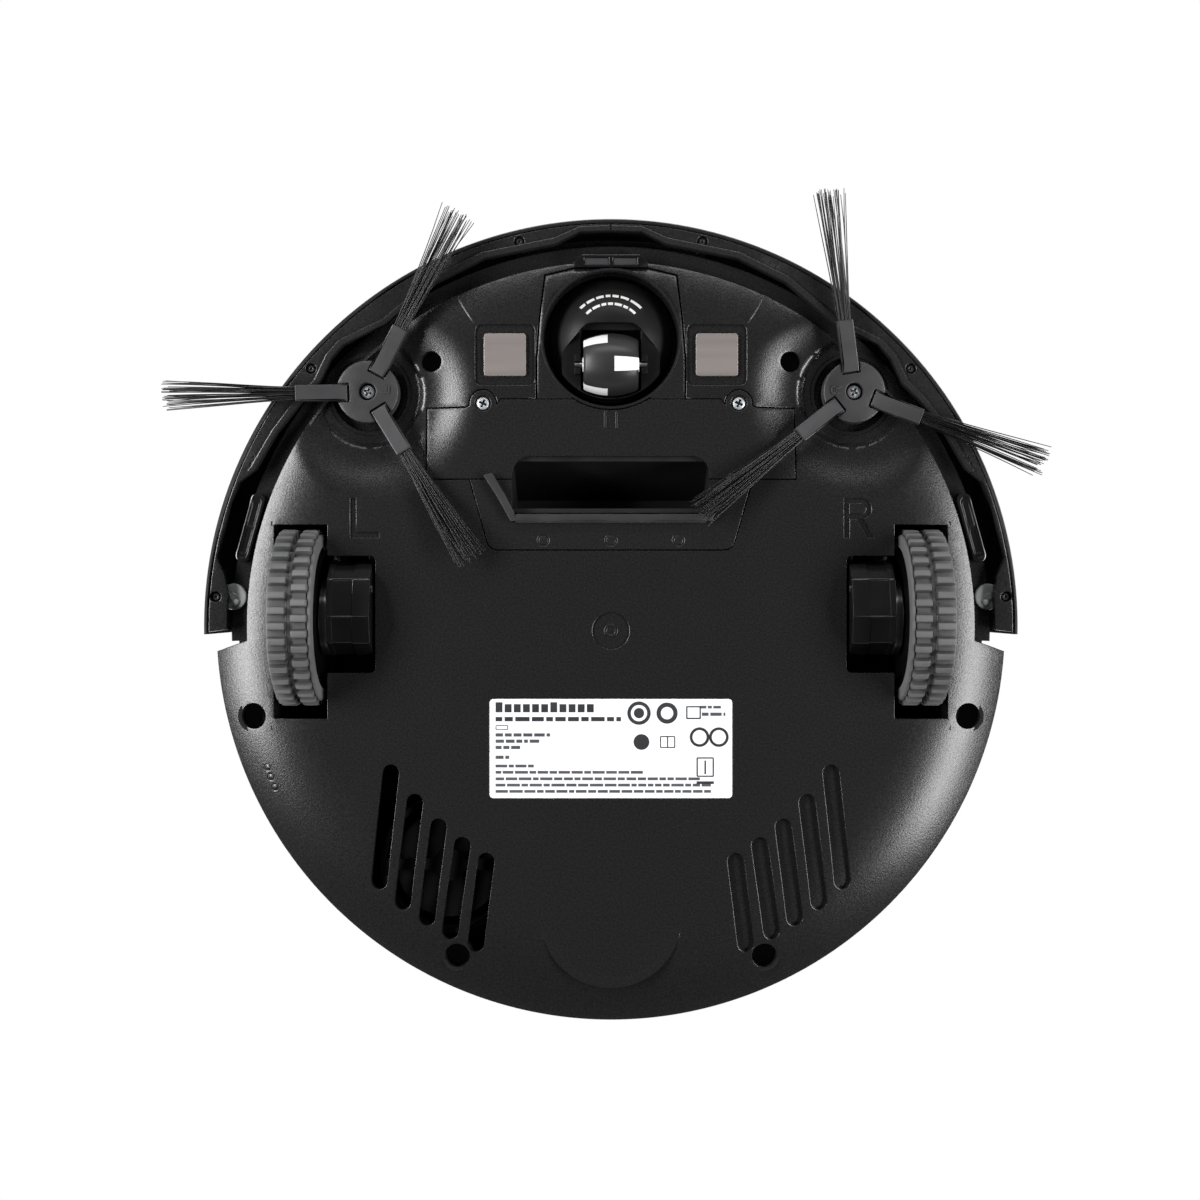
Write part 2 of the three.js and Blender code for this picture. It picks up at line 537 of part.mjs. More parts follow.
// Gearbox arm: pivots at its front end, carries the wheel at its rear end and the motor inboard.
function driveHousing(name, side) {
  const { y, z } = TYRE;
  const x0 = 87.6;
  const x1 = TYRE.x - TYRE.width / 2 + 0.2;
  const arm = strap([-20, 17, 10], [PIVOT.y, PIVOT.z, 8], x0 + 1, 103, 16);
  const gearbox = strap([y, z, 14], [y - 13, z + 1.5, 8.5], x0, 103.6, 24);
  let body = join(arm, gearbox, rodX(14, 103, x1, y, z, 28), rodX(2.9, x1 - 1, x1 + 3.5, y, z, 16));
  body = body.add(rodX(11.5, 60, x0 + 3, -27, 18.5, 28));
  body = cut(body, rodX(2.2, 80, 110, PIVOT.y, PIVOT.z, 16));
  return piece(name, onSide(body, side), GLOSS);
}

const suspensionSpring = (name, side) =>
  piece(name, solid(coil(4.2, 0.5, 28, 6).translate(side * 72, -27, 30.8)), STEEL);

// ---------------------------------------------------------------- side brushes
function placedAtBrush(body, side) {
  return body.translate([side * BRUSH.x, BRUSH.y, 0]);
}

// Something along +X at the brush's axis, drooped towards the floor and turned to its arm.
function onArm(body, angle) {
  return body.rotate([0, BRUSH.droop, 0]).translate([0, 0, BRUSH.z]).rotate([0, 0, angle]);
}

function brushHub(name, side, angles) {
  let hub = turned([[0, -1], [BRUSH.hubR - 1.2, -1], [BRUSH.hubR, 0.2], [BRUSH.hubR, 6.4], [0, 6.4]], 24);
  const w = BRUSH.armW / 2;
  for (const a of angles) hub = hub.add(onArm(box(7.5, BRUSH.arm, -w, w, -1.9, 1.9), a));
  hub = cut(hub, rod(3.2, -3, 2.6, 0, 0, 20), rod(1.6, 0, 9, 0, 0, 16));
  for (const a of angles) {
    hub = cut(hub, onArm(box(BRUSH.arm - 3.4, BRUSH.arm + 1, -w + 0.7, w - 0.7, -1.3, 1.3), a));
  }
  return piece(name, placedAtBrush(hub, side), MATT);
}

// One tuft of bristles as a plain tapered solid that fans out towards its tip.
function tuft(name, side, angle) {
  const w = BRUSH.armW / 2 - 1;
  const [x0, x1] = [BRUSH.arm - 3, BRUSH.reach];
  const s = outline([[x0, -w], [x1, -5.2], [x1, 5.2], [x0, w]]);
  const body = prism(s, -0.7, 0.7);
  return piece(name, placedAtBrush(onArm(body, angle), side), BRISTLE);
}

const brushScrew = (name, side) => crossScrew(name, side * BRUSH.x, BRUSH.y, 0.6, 2.6, 6);

function brushMotor(name, side) {
  const shaft = rod(1.8, 7.2, 13, BRUSH.x, BRUSH.y, 16);
  return piece(name, onSide(join(rod(12, 12.2, 40, BRUSH.x, BRUSH.y, 28), shaft), side), STEEL);
}

// ---------------------------------------------------------------- front caster
const CASTER_AXLE = { y: CASTER.y + CASTER.trail, z: 2 };

function casterStem() {
  const body = join(rod(2, 12.4, 34, 0, CASTER.y, 16), rod(3.1, 30, 32, 0, CASTER.y, 16));
  return piece('caster_stem', body, STEEL);
}

function casterFork() {
  const { y, domeR, trail, width, r } = CASTER;
  const top = CASTER.depth - 0.8;
  const crown = [[0, -2.2], [7, -2], [12, -1], [17, 1.2], [21, 4.6], [domeR, 8.6]];
  let dome = turned([...crown, [domeR, top], [0, top]], 32);
  dome = cut(dome, rod(2.3, 12, 20, 0, 0, 16));
  // a shallow flat-floored recess, and the hollow that the roller turns in
  const inside = (margin) => rod(domeR - margin, -9, 20, 0, 0, 32);
  const recess = prism(roundedRect(width + 10, 22, 8, 0, trail), -8, 1.6, 3).intersect(inside(1.6));
  const hollow = join(rodX(r + 0.9, -width / 2 - 0.8, width / 2 + 0.8, trail, CASTER_AXLE.z, 28),
    box(-width / 2 - 0.8, width / 2 + 0.8, trail - r - 0.9, trail + r + 0.9, -9, CASTER_AXLE.z))
    .intersect(inside(1.2));
  const axleSlot = join(rodX(1.25, -14, 14, trail, CASTER_AXLE.z, 14),
    box(-14, 14, trail - 1, trail + 1, -5, CASTER_AXLE.z));
  const collars = rodX(3.4, -width / 2 - 1.3, width / 2 + 1.3, trail, CASTER_AXLE.z, 16);
  return piece('caster_fork', cut(dome, recess, hollow, axleSlot, collars).translate([0, y, 0]), GLOSS);
}

function casterAxle() {
  const half = CASTER.width / 2 + 3.3;
  return piece('caster_axle', rodX(1, -half, half, CASTER_AXLE.y, CASTER_AXLE.z, 14), STEEL);
}

// White core with collars; its three blocks fill windows in the tread, so a sensor can count turns.
function casterBlocks(grow) {
  const { width, r } = CASTER;
  const blocks = [];
  for (const [a, x0, x1] of [[10, -width / 2, -1.2], [130, -width / 2, -1.2], [250, -width / 2, -1.2],
    [65, 1.2, width / 2], [185, 1.2, width / 2], [305, 1.2, width / 2]]) {
    const block = box(x0 - grow, x1 + grow, -2.6 - grow, 2.6 + grow, 4, r + 1);
    blocks.push(block.rotate([a, 0, 0]));
  }
  return blocks;
}

function barrel(shrink, width, segments = 24) {
  const profile = [-1, -0.5, 0, 0.5, 1].map((t) =>
    [CASTER.r - (CASTER.r - CASTER.endR) * t * t - shrink, (t * width) / 2]);
  const body = turned([[0, -width / 2], ...profile, [0, width / 2]], segments);
  return body.rotate([0, 90, 0]);
}

function casterCore() {
  const { width } = CASTER;
  const body = join(barrel(3, width - 0.6), rodX(2.8, -width / 2 - 0.9, width / 2 + 0.9, 0, 0, 20));
  const shown = casterBlocks(-GAP).map((b) => b.intersect(barrel(0.3, width - 0.4)));
  const core = cut(join(body, ...shown), rodX(1.25, -20, 20, 0, 0, 14));
  return piece('caster_core', core.translate([0, CASTER_AXLE.y, CASTER_AXLE.z]), WHITE);
}

function casterTread() {
  const body = cut(barrel(0, CASTER.width), barrel(2.7, CASTER.width + 4), ...casterBlocks(0));
  return piece('caster_tread', body.translate([0, CASTER_AXLE.y, CASTER_AXLE.z]), MATT);
}

// ---------------------------------------------------------------- dust bin and top
function dustBin() {
  const { x, y0, y1, z0, z1, wall } = BIN;
  const inside = box(-x + wall, x - wall, y0 + wall, y1 - wall, z0 + wall, z1 + 1);
  let body = cut(box(-x, x, y0, y1, z0, z1), inside);
  body = cut(body, box(-34, 34, y0 - 1, y0 + 3, 27.5, 41)); // air in
  body = cut(body, box(-44, 44, y1 - 3, y1 + 1, 29, 49)); // air out, behind the filter
  const axis = [LID.y1 - 1.5, DECK_Z - 1.5];
  const ear = box(40, 44, y1 - wall, LID.y1 - 0.2, 60, DECK_Z - 0.4).add(rodX(1.5, 40, 44, ...axis, 16));
  return piece('dust_bin', body.add(both(cut(ear, rodX(0.95, 30, 50, ...axis, 12)))), CLEAR);
}

const binFilter = () =>
  piece('bin_filter', box(-45, 45, BIN.y1 - BIN.wall - 6, BIN.y1 - BIN.wall - GAP, 27, 51), FLEECE);

// The lid turns about a pin in its rounded rear edge.
function binLid() {
  const { x, y0, y1, thick, corner } = LID;
  const axis = { y: y1 - 1.5, z: DECK_Z - 1.5 };
  const plan = roundedRect(2 * x, y1 - y0 - 1.5 + corner, corner, 0, (y0 + axis.y + corner) / 2);
  let lid = prism(plan, DECK_Z - thick, DECK_Z, 5);
  lid = cut(lid, box(-80, 80, axis.y, 90, 0, 90)).add(rodX(1.5, -x, x, axis.y, axis.z, 16));
  lid = cut(lid, both(box(39.7, 44.3, BIN.y1 - BIN.wall - 0.4, 90, 0, 90)));
  return piece('bin_lid', cut(lid, rodX(0.95, -x - 1, x + 1, axis.y, axis.z, 12)), GLOSS);
}

const lidPin = () => piece('lid_hinge_pin', rodX(0.7, -50, 50, LID.y1 - 1.5, DECK_Z - 1.5, 12), STEEL);

function startButton() {
  const cap = rod(BUTTON.r, 66, DECK_Z + 0.6, 0, BUTTON.y, 24);
  const flange = rod(BUTTON.r + 1.4, 64, 66.6, 0, BUTTON.y, 24);
  return piece('start_button', join(cap, flange, rod(4, 62.5, 65, 0, BUTTON.y, 16)), STEEL);
}

const rockerFrame = (body) => body.rotate([0, 0, ROCKER.turn]);
function rockerPocket() {
  const { w, h } = ROCKER;
  return rockerFrame(join(box(140, 150, -w / 2 - 1, w / 2 + 1, 40 - h / 2 - 0.5, 40 + h / 2 + 0.5),
    box(142, 144.6, -1.2, 1.2, 33, 47)));
}

function powerSwitch() {
  const { w, h } = ROCKER;
  const side = outline([[143.4, 0.1], [146.9, -w / 2 + 0.4], [145.2, -w / 2 + 0.2], [141.5, -w / 2 + 3],
    [141.5, w / 2 - 3], [143.2, w / 2 - 0.3], [144.9, w / 2 - 0.4]]);
  const key = prism(side, 40 - h / 2, 40 + h / 2);
  const pins = rod(0.8, 34.2, 45.8, 143.3, 0, 12);
  return piece('power_switch', rockerFrame(join(key, pins)), MATT);
}

// ---------------------------------------------------------------- inside
function batteryPack() {
  const cells = [];
  for (const z of [26.6, 45]) {
    for (const x of [-33, 33]) cells.push(rodX(9.1, x - 32.5, x + 32.5, -71.5, z, 16));
  }
  const wrap = box(-66, 66, -80.4, -62.6, 27, 44.6);
  return piece('battery_pack', join(wrap, box(-3, 3, -78, -65, 20, 50), ...cells), WRAP);
}

function mainBoard() {
  const chips = [box(-20, -4, -112, -98, 53, 54.6), box(8, 26, -110, -100, 52.6, 54.6),
    box(34, 50, -108, -96, 50, 54.6)];
  return piece('main_board', join(box(-58, 58, -120, -88, 54.4, 56), ...chips), BOARD);
}

function fanHousing() {
  const { x, y, r, z0, z1 } = FAN;
  const drum = rod(r, z0, z1, x, y, 40);
  const body = cut(drum, rod(r - 2, z0 - 1, z1 - 2, x, y, 40), rod(11, z1 - 4, z1 + 1, x, y, 28));
  const spider = join(box(x - r + 1, x + r - 1, y - 2, y + 2, z0, z0 + 2), rod(6, z0, z0 + 3, x, y, 20));
  return piece('fan_housing', body.add(spider), MATT);
}

function fanRotor() {
  const { x, y, z0 } = FAN;
  const blades = [];
  for (let i = 0; i < 7; i++) {
    const blade = box(5, 20, -0.8, 0.8, 1.5, 14).rotate([0, 0, 18]);
    blades.push(blade.translate([1, 0, 0]).rotate([0, 0, (360 * i) / 7]));
  }
  const body = join(rod(20, 0, 2, 0, 0, 36), rod(6, 0, 16, 0, 0, 24, 3), ...blades);
  return piece('fan_rotor', body.translate([x, y, z0 + 4]), MATT);
}

// ---------------------------------------------------------------- assembly
const vacuum = new THREE.Group();
vacuum.add(
  baseShell(), upperHousing(), topCover(), batteryCover(), squeegeePlate(), inletSeal(), suctionDuct(),
  casterSocket(), ratingLabel(), cliffSensorFront(), bumperShell(), bumperWindow(), casterStem(),
  casterFork(), casterAxle(), casterCore(), casterTread(), dustBin(), binFilter(), binLid(), lidPin(),
  startButton(), powerSwitch(), batteryPack(), mainBoard(), fanHousing(), fanRotor(),
);
for (const [side, sign] of Object.entries(SIDES)) {
  vacuum.add(
    chargeContact(`charge_contact_${side}`, sign),
    cliffSensorSide(`cliff_sensor_${side}`, sign),
    bumperGuide(`bumper_guide_${side}`, sign),
    bumperLip(`bumper_lip_${side}`, sign),
    bumperSpring(`bumper_spring_${side}`, sign),
    crossScrew(`cover_screw_${side}`, sign * COVER.screwX, COVER.screwY, 0.1, 2.6, 8),
    tyre(`tyre_${side}`, sign),
    wheelHub(`wheel_hub_${side}`, sign),
    driveHousing(`drive_housing_${side}`, sign),
    suspensionSpring(`suspension_spring_${side}`, sign),
    brushHub(`brush_hub_${side}`, sign, BRUSH_TURN[side]),
    brushScrew(`brush_screw_${side}`, sign),
    brushMotor(`brush_motor_${side}`, sign),
  );
  BRUSH_TURN[side].forEach((angle, i) => vacuum.add(tuft(`bristles_${side}_${i + 1}`, sign, angle)));
}

export default vacuum;
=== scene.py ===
"""The looks of a round robot vacuum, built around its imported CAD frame.

Lengths are in millimetres until a mesh is made. X runs to the photo's right, Y to its bottom, which is the
machine's rear, and Z up, so the underside that the camera sees faces -Z. "left" is -X.
"""

import math

import bmesh
import bpy
import numpy as np
from mathutils import Euler, Matrix, Vector
from mathutils.geometry import convex_hull_2d, delaunay_2d_cdt


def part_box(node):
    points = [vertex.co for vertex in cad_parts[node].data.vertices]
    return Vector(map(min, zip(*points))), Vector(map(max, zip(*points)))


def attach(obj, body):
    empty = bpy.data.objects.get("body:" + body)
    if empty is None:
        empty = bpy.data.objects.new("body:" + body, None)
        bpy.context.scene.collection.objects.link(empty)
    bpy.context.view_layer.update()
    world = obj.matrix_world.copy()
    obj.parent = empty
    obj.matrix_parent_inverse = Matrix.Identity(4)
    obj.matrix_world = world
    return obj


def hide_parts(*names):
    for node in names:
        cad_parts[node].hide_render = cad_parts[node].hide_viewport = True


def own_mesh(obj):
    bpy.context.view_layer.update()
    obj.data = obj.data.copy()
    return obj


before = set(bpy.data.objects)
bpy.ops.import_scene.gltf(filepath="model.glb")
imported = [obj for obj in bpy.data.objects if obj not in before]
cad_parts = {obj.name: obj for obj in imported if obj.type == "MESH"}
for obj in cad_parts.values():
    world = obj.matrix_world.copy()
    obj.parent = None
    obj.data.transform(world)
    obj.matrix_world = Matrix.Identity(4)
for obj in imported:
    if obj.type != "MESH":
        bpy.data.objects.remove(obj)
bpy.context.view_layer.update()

MM = 0.001
SIDES = {"left": -1, "right": 1}

# ---------------------------------------------------------------- driving dimensions, as in the CAD
WALL = 2.5
BODY_R, FRONT_R, SKIRT_R, BUMPER_R = 146.8, 141.0, 134.5, 150.0
FLAT_R = 112.0  # the underside is flat inside this radius, and curls up by RIM_Z outside it
RIM_Z, LEDGE_Z, SPLIT_Z, DECK_Z = 9.0, 8.0, 20.0, 70.0
STEP_INNER, STEP_OUTER = 5.5, 9.5  # Y of the step behind each bumper end, at the skirt and at the body
A_FRONT = 90 + math.degrees(math.asin(STEP_INNER / SKIRT_R))  # the same two places, as angles from the front
A_REAR = 90 + math.degrees(math.asin(STEP_OUTER / BODY_R))
PAD = {"y": 107.0, "r": 26.0}
BRUSH = {"x": 89.3, "y": -85.9, "hub": 11.4, "arm": 26.5, "width": 5.9, "reach": 75.5, "droop": 7.3, "z": 1.5}
BRUSH_TURN = {"left": (178.1, 58.1, -61.9), "right": (-98.5, 21.5, 141.5)}
BRUSH_SEAT_R, BRUSH_RING_R = 13.9, 15.4
# radius and depth of the dish around each side brush: a flat floor, a short wall, then one long swell
DISH = ((0.0, 6.6), (18.5, 6.6), (19.0, 6.3), (20.1, 5.0))
DISH_END = 41.5
# a finer mesh around each side brush: x, y, radius, spacing
DISH_PATCHES = [(sign * BRUSH["x"], BRUSH["y"], 44.0, 1.3) for sign in SIDES.values()]
TYRE = {"x": 113.9, "y": -3.0, "z": 5.0, "r": 32.5, "ribs": 36}
CASTER = {"y": -105.5, "cup": 24.7, "dome": 23.2, "trail": 9.5, "z": 2.0, "r": 11.5, "end": 9.2, "width": 20.0}
SLOT = (104.1, 123.9, -37.2, 34.1)
BOSS_SLOT = (86.5, 104.1, -25.7, 17.2)
COVER = {"x": 67.8, "front": -80.2, "rear": -54.0, "screw": (47.0, -81.7), "tab": 4.9}
CONTACT = {"x": 38.9, "y": -99.5, "w": 15.5, "h": 15.7, "frame_w": 21.9, "frame_h": 22.3}
LABEL = {"w": 89.0, "h": 36.4, "y": 45.0}
INK_LOW, INK_TOP = -0.06, -0.01
MOUTH = {"x": 36.2, "front": -62.2, "rear": -41.6, "corner": 6.5}
PLATE = {"front": -53.7, "rear": -28.0, "dot_y": -31.4}
WELLS = ((132.0, 33.4, 4.7), (56.6, 121.7, 4.6), (66.3, -97.5, 3.7))
VENT_WIDTH = 6.1
# each vent slot's front and rear end, from the outermost inwards
VENTS = (((80.8, 53.9), (85.2, 94.0)), ((72.0, 64.7), (76.6, 101.6)), ((63.3, 73.7), (67.7, 107.5)),
         ((54.6, 80.5), (59.2, 112.5)), ((45.8, 86.3), (49.7, 117.1)))
LETTER_Y = (-46.8, -32.3)
LETTER_DEPTH = 0.8
CENTRE_MARK_Y = 1.8
SIDE_SENSOR = {"angle": 74.8, "r": 138.0, "tilt": -15.2}
# the trim's inner edge, as angle from the front and radius
LIP_EDGE = ((0.03, 145.4), (4.5, 145.4), (8.3, 141.9), (19, 143), (27, 141.8), (36.8, 138.3), (41, 140.9),
            (43.6, 142.8), (46.4, 142.4), (50.3, 139.5), (54, 140.6), (60, 142), (66.2, 142.9), (69.0, 147.0),
            (72, 147.3), (80.2, 147.3), (82.6, 143.4), (85, 141.8), (90.6, 141.5))
LIP_Z, LIP_R, LIP_SCREW_R, LIP_END = 2.5, 148.2, 145.6, 67.0
LIP_SCREWS = (13.4, 49.4, 85.8)
LID = {"x": 52.0, "front": -34.0, "rear": 59.5, "corner": 12.0, "thick": 3.0, "ear": (39.7, 44.3), "ear_y": 54.8}
LID_GAP = 0.6
BUTTON = {"y": -82.0, "r": 11.0}
PUSH_SPRING = {"x": 34.0, "y": -137.2, "z": 24.0, "r": 2.1, "wire": 0.35, "length": 7.0, "turns": 3,
               "travel": 4.0}
SUSPENSION_SPRING = {"x": 72.0, "y": -27.0, "z": 31.0, "r": 4.2, "wire": 0.5, "length": 27.8, "turns": 6,
                     "travel": 5.8}


# ---------------------------------------------------------------- outlines
def ccw(loop):
    loop = np.asarray(loop, float)
    x, y = loop.T
    turned_by = np.dot(x, np.roll(y, -1)) - np.dot(y, np.roll(x, -1))
    return loop if turned_by > 0 else loop[::-1]


def offset(loop, d):
    """A counter-clockwise loop with every side moved outwards by d."""
    before, after = loop - np.roll(loop, 1, 0), np.roll(loop, -1, 0) - loop
    before /= np.linalg.norm(before, axis=1)[:, None]
    after /= np.linalg.norm(after, axis=1)[:, None]
    n1 = np.stack([before[:, 1], -before[:, 0]], 1)
    n2 = np.stack([after[:, 1], -after[:, 0]], 1)
    mid = n1 + n2
    mid /= np.maximum(np.linalg.norm(mid, axis=1), 1e-6)[:, None]
    return loop + mid * (d / np.maximum((mid * n1).sum(1), 0.45))[:, None]


def mirror_x(loop):
    return ccw(np.asarray(loop, float) * (-1, 1))


def sided(loop, sign):
    """A right-hand loop, or its mirror image."""
    return ccw(loop) if sign > 0 else mirror_x(loop)


def mirrored(right):
    """A whole loop from its right half, without repeating points on the middle line."""
    return ccw(right + [(-x, y) for x, y in reversed(right) if x > 0])


def turned(points, degrees, by=(0, 0)):
    a = math.radians(degrees)
    spin = np.array([[math.cos(a), -math.sin(a)], [math.sin(a), math.cos(a)]])
    return np.asarray(points, float) @ spin.T + by


def circle(r, x=0.0, y=0.0, n=32):
    a = np.linspace(0, 2 * math.pi, n, endpoint=False)
    return np.stack([x + r * np.cos(a), y + r * np.sin(a)], 1)


def rounded(points, radii, n=5):
    """A polygon with each corner rounded to its own radius."""
    points = ccw(points)
    radii = np.broadcast_to(radii, len(points))
    out = []
    for i, p in enumerate(points):
        a, b = points[i - 1] - p, points[(i + 1) % len(points)] - p
        la, lb = np.linalg.norm(a), np.linalg.norm(b)
        a, b, r = a / la, b / lb, radii[i]
        if r <= 0:
            out.append(p)
            continue
        half = math.acos(np.clip(np.dot(a, b), -1, 1)) / 2
        back = min(r / math.tan(half), 0.48 * la, 0.48 * lb)
        start, end = p + a * back, p + b * back
        for t in np.linspace(0, 1, n + 1):
            out.append((1 - t) ** 2 * start + 2 * t * (1 - t) * p + t ** 2 * end)
    return np.array(out)


def rectangle(x0, x1, y0, y1, r=0.0, n=4):
    return rounded([(x0, y0), (x1, y0), (x1, y1), (x0, y1)], r, n)


def centred(x, y, w, h, r, n=5):
    return rectangle(x - w / 2, x + w / 2, y - h / 2, y + h / 2, r, n)


def slot_loop(a, b, width, n=7):
    """A slot with round ends between two centres."""
    a, b = np.array(a, float), np.array(b, float)
    way = math.atan2(*(b - a)[::-1])
    out = []
    for centre, start in ((b, way - math.pi / 2), (a, way + math.pi / 2)):
        for t in np.linspace(0, math.pi, n):
            out.append(centre + width / 2 * np.array([math.cos(start + t), math.sin(start + t)]))
    return ccw(out)


def polar(degrees, r):
    """A point by its angle from the front (-Y), positive towards +X."""
    a = math.radians(degrees)
    return np.array([r * math.sin(a), -r * math.cos(a)])


def arc(r, a0, a1, step=2.0):
    n = max(2, int(abs(a1 - a0) / step) + 1)
    return [polar(a, r) for a in np.linspace(a0, a1, n)]


def inside(points, loop):
    """Which points lie in a loop, by counting crossings."""
    x, y = points[:, 0], points[:, 1]
    found = np.zeros(len(points), bool)
    for (x0, y0), (x1, y1) in zip(loop, np.roll(loop, -1, 0)):
        crosses = (y0 > y) != (y1 > y)
        if crosses.any():
            found ^= crosses & (x < (x1 - x0) * (y - y0) / (y1 - y0 + 1e-12) + x0)
    return found


def union(loops):
    """The outer boundary of overlapping loops."""
    points, faces = [], []
    for loop in loops:
        faces.append(list(range(len(points), len(points) + len(loop))))
        points += [Vector(p) for p in loop]
    where, _, tris, *_ = delaunay_2d_cdt(points, [], faces, 1, 1e-4)
    sides = dict.fromkeys((a, b) for t in tris for a, b in zip(t, [*t[1:], t[0]]))
    border = {a: b for a, b in sides if (b, a) not in sides}
    start = min(border, key=lambda i: where[i][0])
    walk, at = [start], border[start]
    while at != start:
        walk.append(at)
        at = border[at]
    return np.array([tuple(where[i]) for i in walk])


# ---------------------------------------------------------------- closed shells, as (vertices, faces)
def moved(shell, turn=(0, 0, 0), by=(0, 0, 0), scale=(1, 1, 1)):
    """A shell scaled, then turned by degrees about X, Y and Z, then shifted."""
    verts = np.asarray(shell[0], float) * scale
    spin = np.array(Euler([math.radians(t) for t in turn]).to_matrix())
    return verts @ spin.T + by, shell[1]


def on_side(shell, sign):
    return moved(shell, scale=(sign, 1, 1))


def along_x(shell, x=0.0, y=0.0, z=0.0):
    """A shell made about Z, laid along X."""
    return moved(shell, (0, 90, 0), (x, y, z))


def loft(rings, closed=False):
    """Rings of points joined in order. A ring may be one point. Unless closed, the two end rings are capped."""
    starts = np.cumsum([0] + [len(ring) for ring in rings])
    numbers = [list(range(a, b)) for a, b in zip(starts, starts[1:])]
    faces = []
    for a, b in zip(numbers, numbers[1:] + (numbers[:1] if closed else [])):
        n = max(len(a), len(b))
        if n == 1:
            continue
        for i in range(n):
            j = (i + 1) % n
            if len(a) == 1:
                faces.append((a[0], b[j], b[i]))
            elif len(b) == 1:
                faces.append((a[i], a[j], b[0]))
            else:
                faces.append((a[i], a[j], b[j], b[i]))
    if not closed:
        faces += [tuple(ring) for ring in (numbers[0], numbers[-1]) if len(ring) > 1]
    return np.array([tuple(p) for ring in rings for p in ring], float), faces


def raised(loop, z):
    return np.column_stack([loop, np.broadcast_to(z, len(loop))])


def revolve(profile, n=64, x=0.0, y=0.0):
    """A profile of (radius, height) turned about Z. It is closed, or runs from the axis to the axis."""
    angles = np.linspace(0, 2 * math.pi, n, endpoint=False)
    rings = [[(x + r * math.sin(a), y - r * math.cos(a), z) for a in (angles if r > 0 else angles[:1])]
             for r, z in profile]
    return loft(rings, closed=profile[0][0] > 0)


def swept(profile, a0, a1, step=2.0):
    """A closed profile of (radius, height) swept about Z between two angles from the front."""
    n = max(2, int(abs(a1 - a0) / step) + 1)
    return loft([[(*polar(a, r), z) for r, z in profile] for a in np.linspace(a0, a1, n)])


def slab(loop, z0, z1, edge=0.2):
    """An outline raised from z0 to z1, its long edges rounded."""
    lower = ((-edge, z0), (-0.3 * edge, z0 + 0.29 * edge), (0, z0 + edge))
    upper = tuple((d, z0 + z1 - z) for d, z in lower[::-1])
    return loft([raised(offset(ccw(loop), d), z) for d, z in lower + upper])


def block(x0, x1, y0, y1, z0, z1, edge=0.2, corner=0.3):
    return slab(rectangle(x0, x1, y0, y1, corner, 2), z0, z1, edge)


def slab_x(loop, x0, x1, edge):
    """A slab along X: its outline is given as (y, z)."""
    verts, faces = slab(loop, x0, x1, edge)
    return verts[:, [2, 0, 1]], faces


def hull_x(circles, x0, x1, edge=0.5):
    """The hull of circles (y, z, r), as a body along X with rounded ends."""
    points = np.concatenate([circle(r, y, z, 48) for y, z, r in circles])
    return slab_x(points[convex_hull_2d([Vector(p) for p in points])], x0, x1, edge)


def tube(points, radii, sides=6):
    """A closed tube along points, with a radius at each."""
    points = np.asarray(points, float)
    way = np.gradient(points, axis=0)
    way /= np.linalg.norm(way, axis=1)[:, None]
    side = np.cross(way[0], (0.0, 0.0, 1.0) if abs(way[0][2]) < 0.9 else (1.0, 0.0, 0.0))
    rings = []
    for p, w, r in zip(points, way, np.broadcast_to(radii, len(points))):
        side = side - w * np.dot(side, w)
        side /= np.linalg.norm(side)
        up = np.cross(w, side)
        rings.append([p + r * (math.cos(a) * side + math.sin(a) * up)
                      for a in 2 * math.pi * np.arange(sides) / sides])
    return loft(rings)


# ---------------------------------------------------------------- moulded sheets
STEP_WALL = 0.14


def level(z):
    """A flat face at one height."""
    return lambda px, py: np.full_like(px, z)


def grid_points(low, high, spacing, patches):
    """A staggered grid, finer inside each patch (x, y, radius, spacing), as (points, pitch) for each."""
    found = []
    for x, y, r, pitch in (*patches, (0, 0, None, spacing)):
        x0, x1, y0, y1 = (low[0], high[0], low[1], high[1]) if r is None else (x - r, x + r, y - r, y + r)
        gx, gy = np.meshgrid(np.arange(x0, x1, pitch), np.arange(y0, y1, pitch * 0.87))
        gx[1::2] += pitch / 2
        points = np.stack([gx.ravel(), gy.ravel()], 1)
        if r is not None:
            points = points[np.hypot(*(points - (x, y)).T) < r]
        else:
            for px, py, pr, _ in patches:
                points = points[np.hypot(*(points - (px, py)).T) > pr]
        found.append((points, pitch))
    return found


def clear_of(points, loops, gap):
    """The points that lie further than a gap from every side of every loop."""
    keep = np.ones(len(points), bool)
    for loop in loops:
        low, high = loop.min(0) - gap, loop.max(0) + gap
        near = np.where(keep & ((points > low) & (points < high)).all(1))[0]
        for a, b in zip(loop, np.roll(loop, -1, 0)):
            if not len(near):
                break
            ab = b - a
            t = np.clip((points[near] - a) @ ab / max(ab @ ab, 1e-12), 0, 1)
            d = np.linalg.norm(points[near] - a - t[:, None] * ab, axis=1)
            keep[near[d < gap]] = False
            near = near[d >= gap]
    return points[keep]


def dense(loop, pitch, whole=int):
    """A loop with its long sides divided."""
    out = []
    for a, b in zip(loop, np.roll(loop, -1, 0)):
        n = max(1, whole(np.linalg.norm(b - a) / pitch))
        out += [a + (b - a) * i / n for i in range(n)]
    return np.array(out)


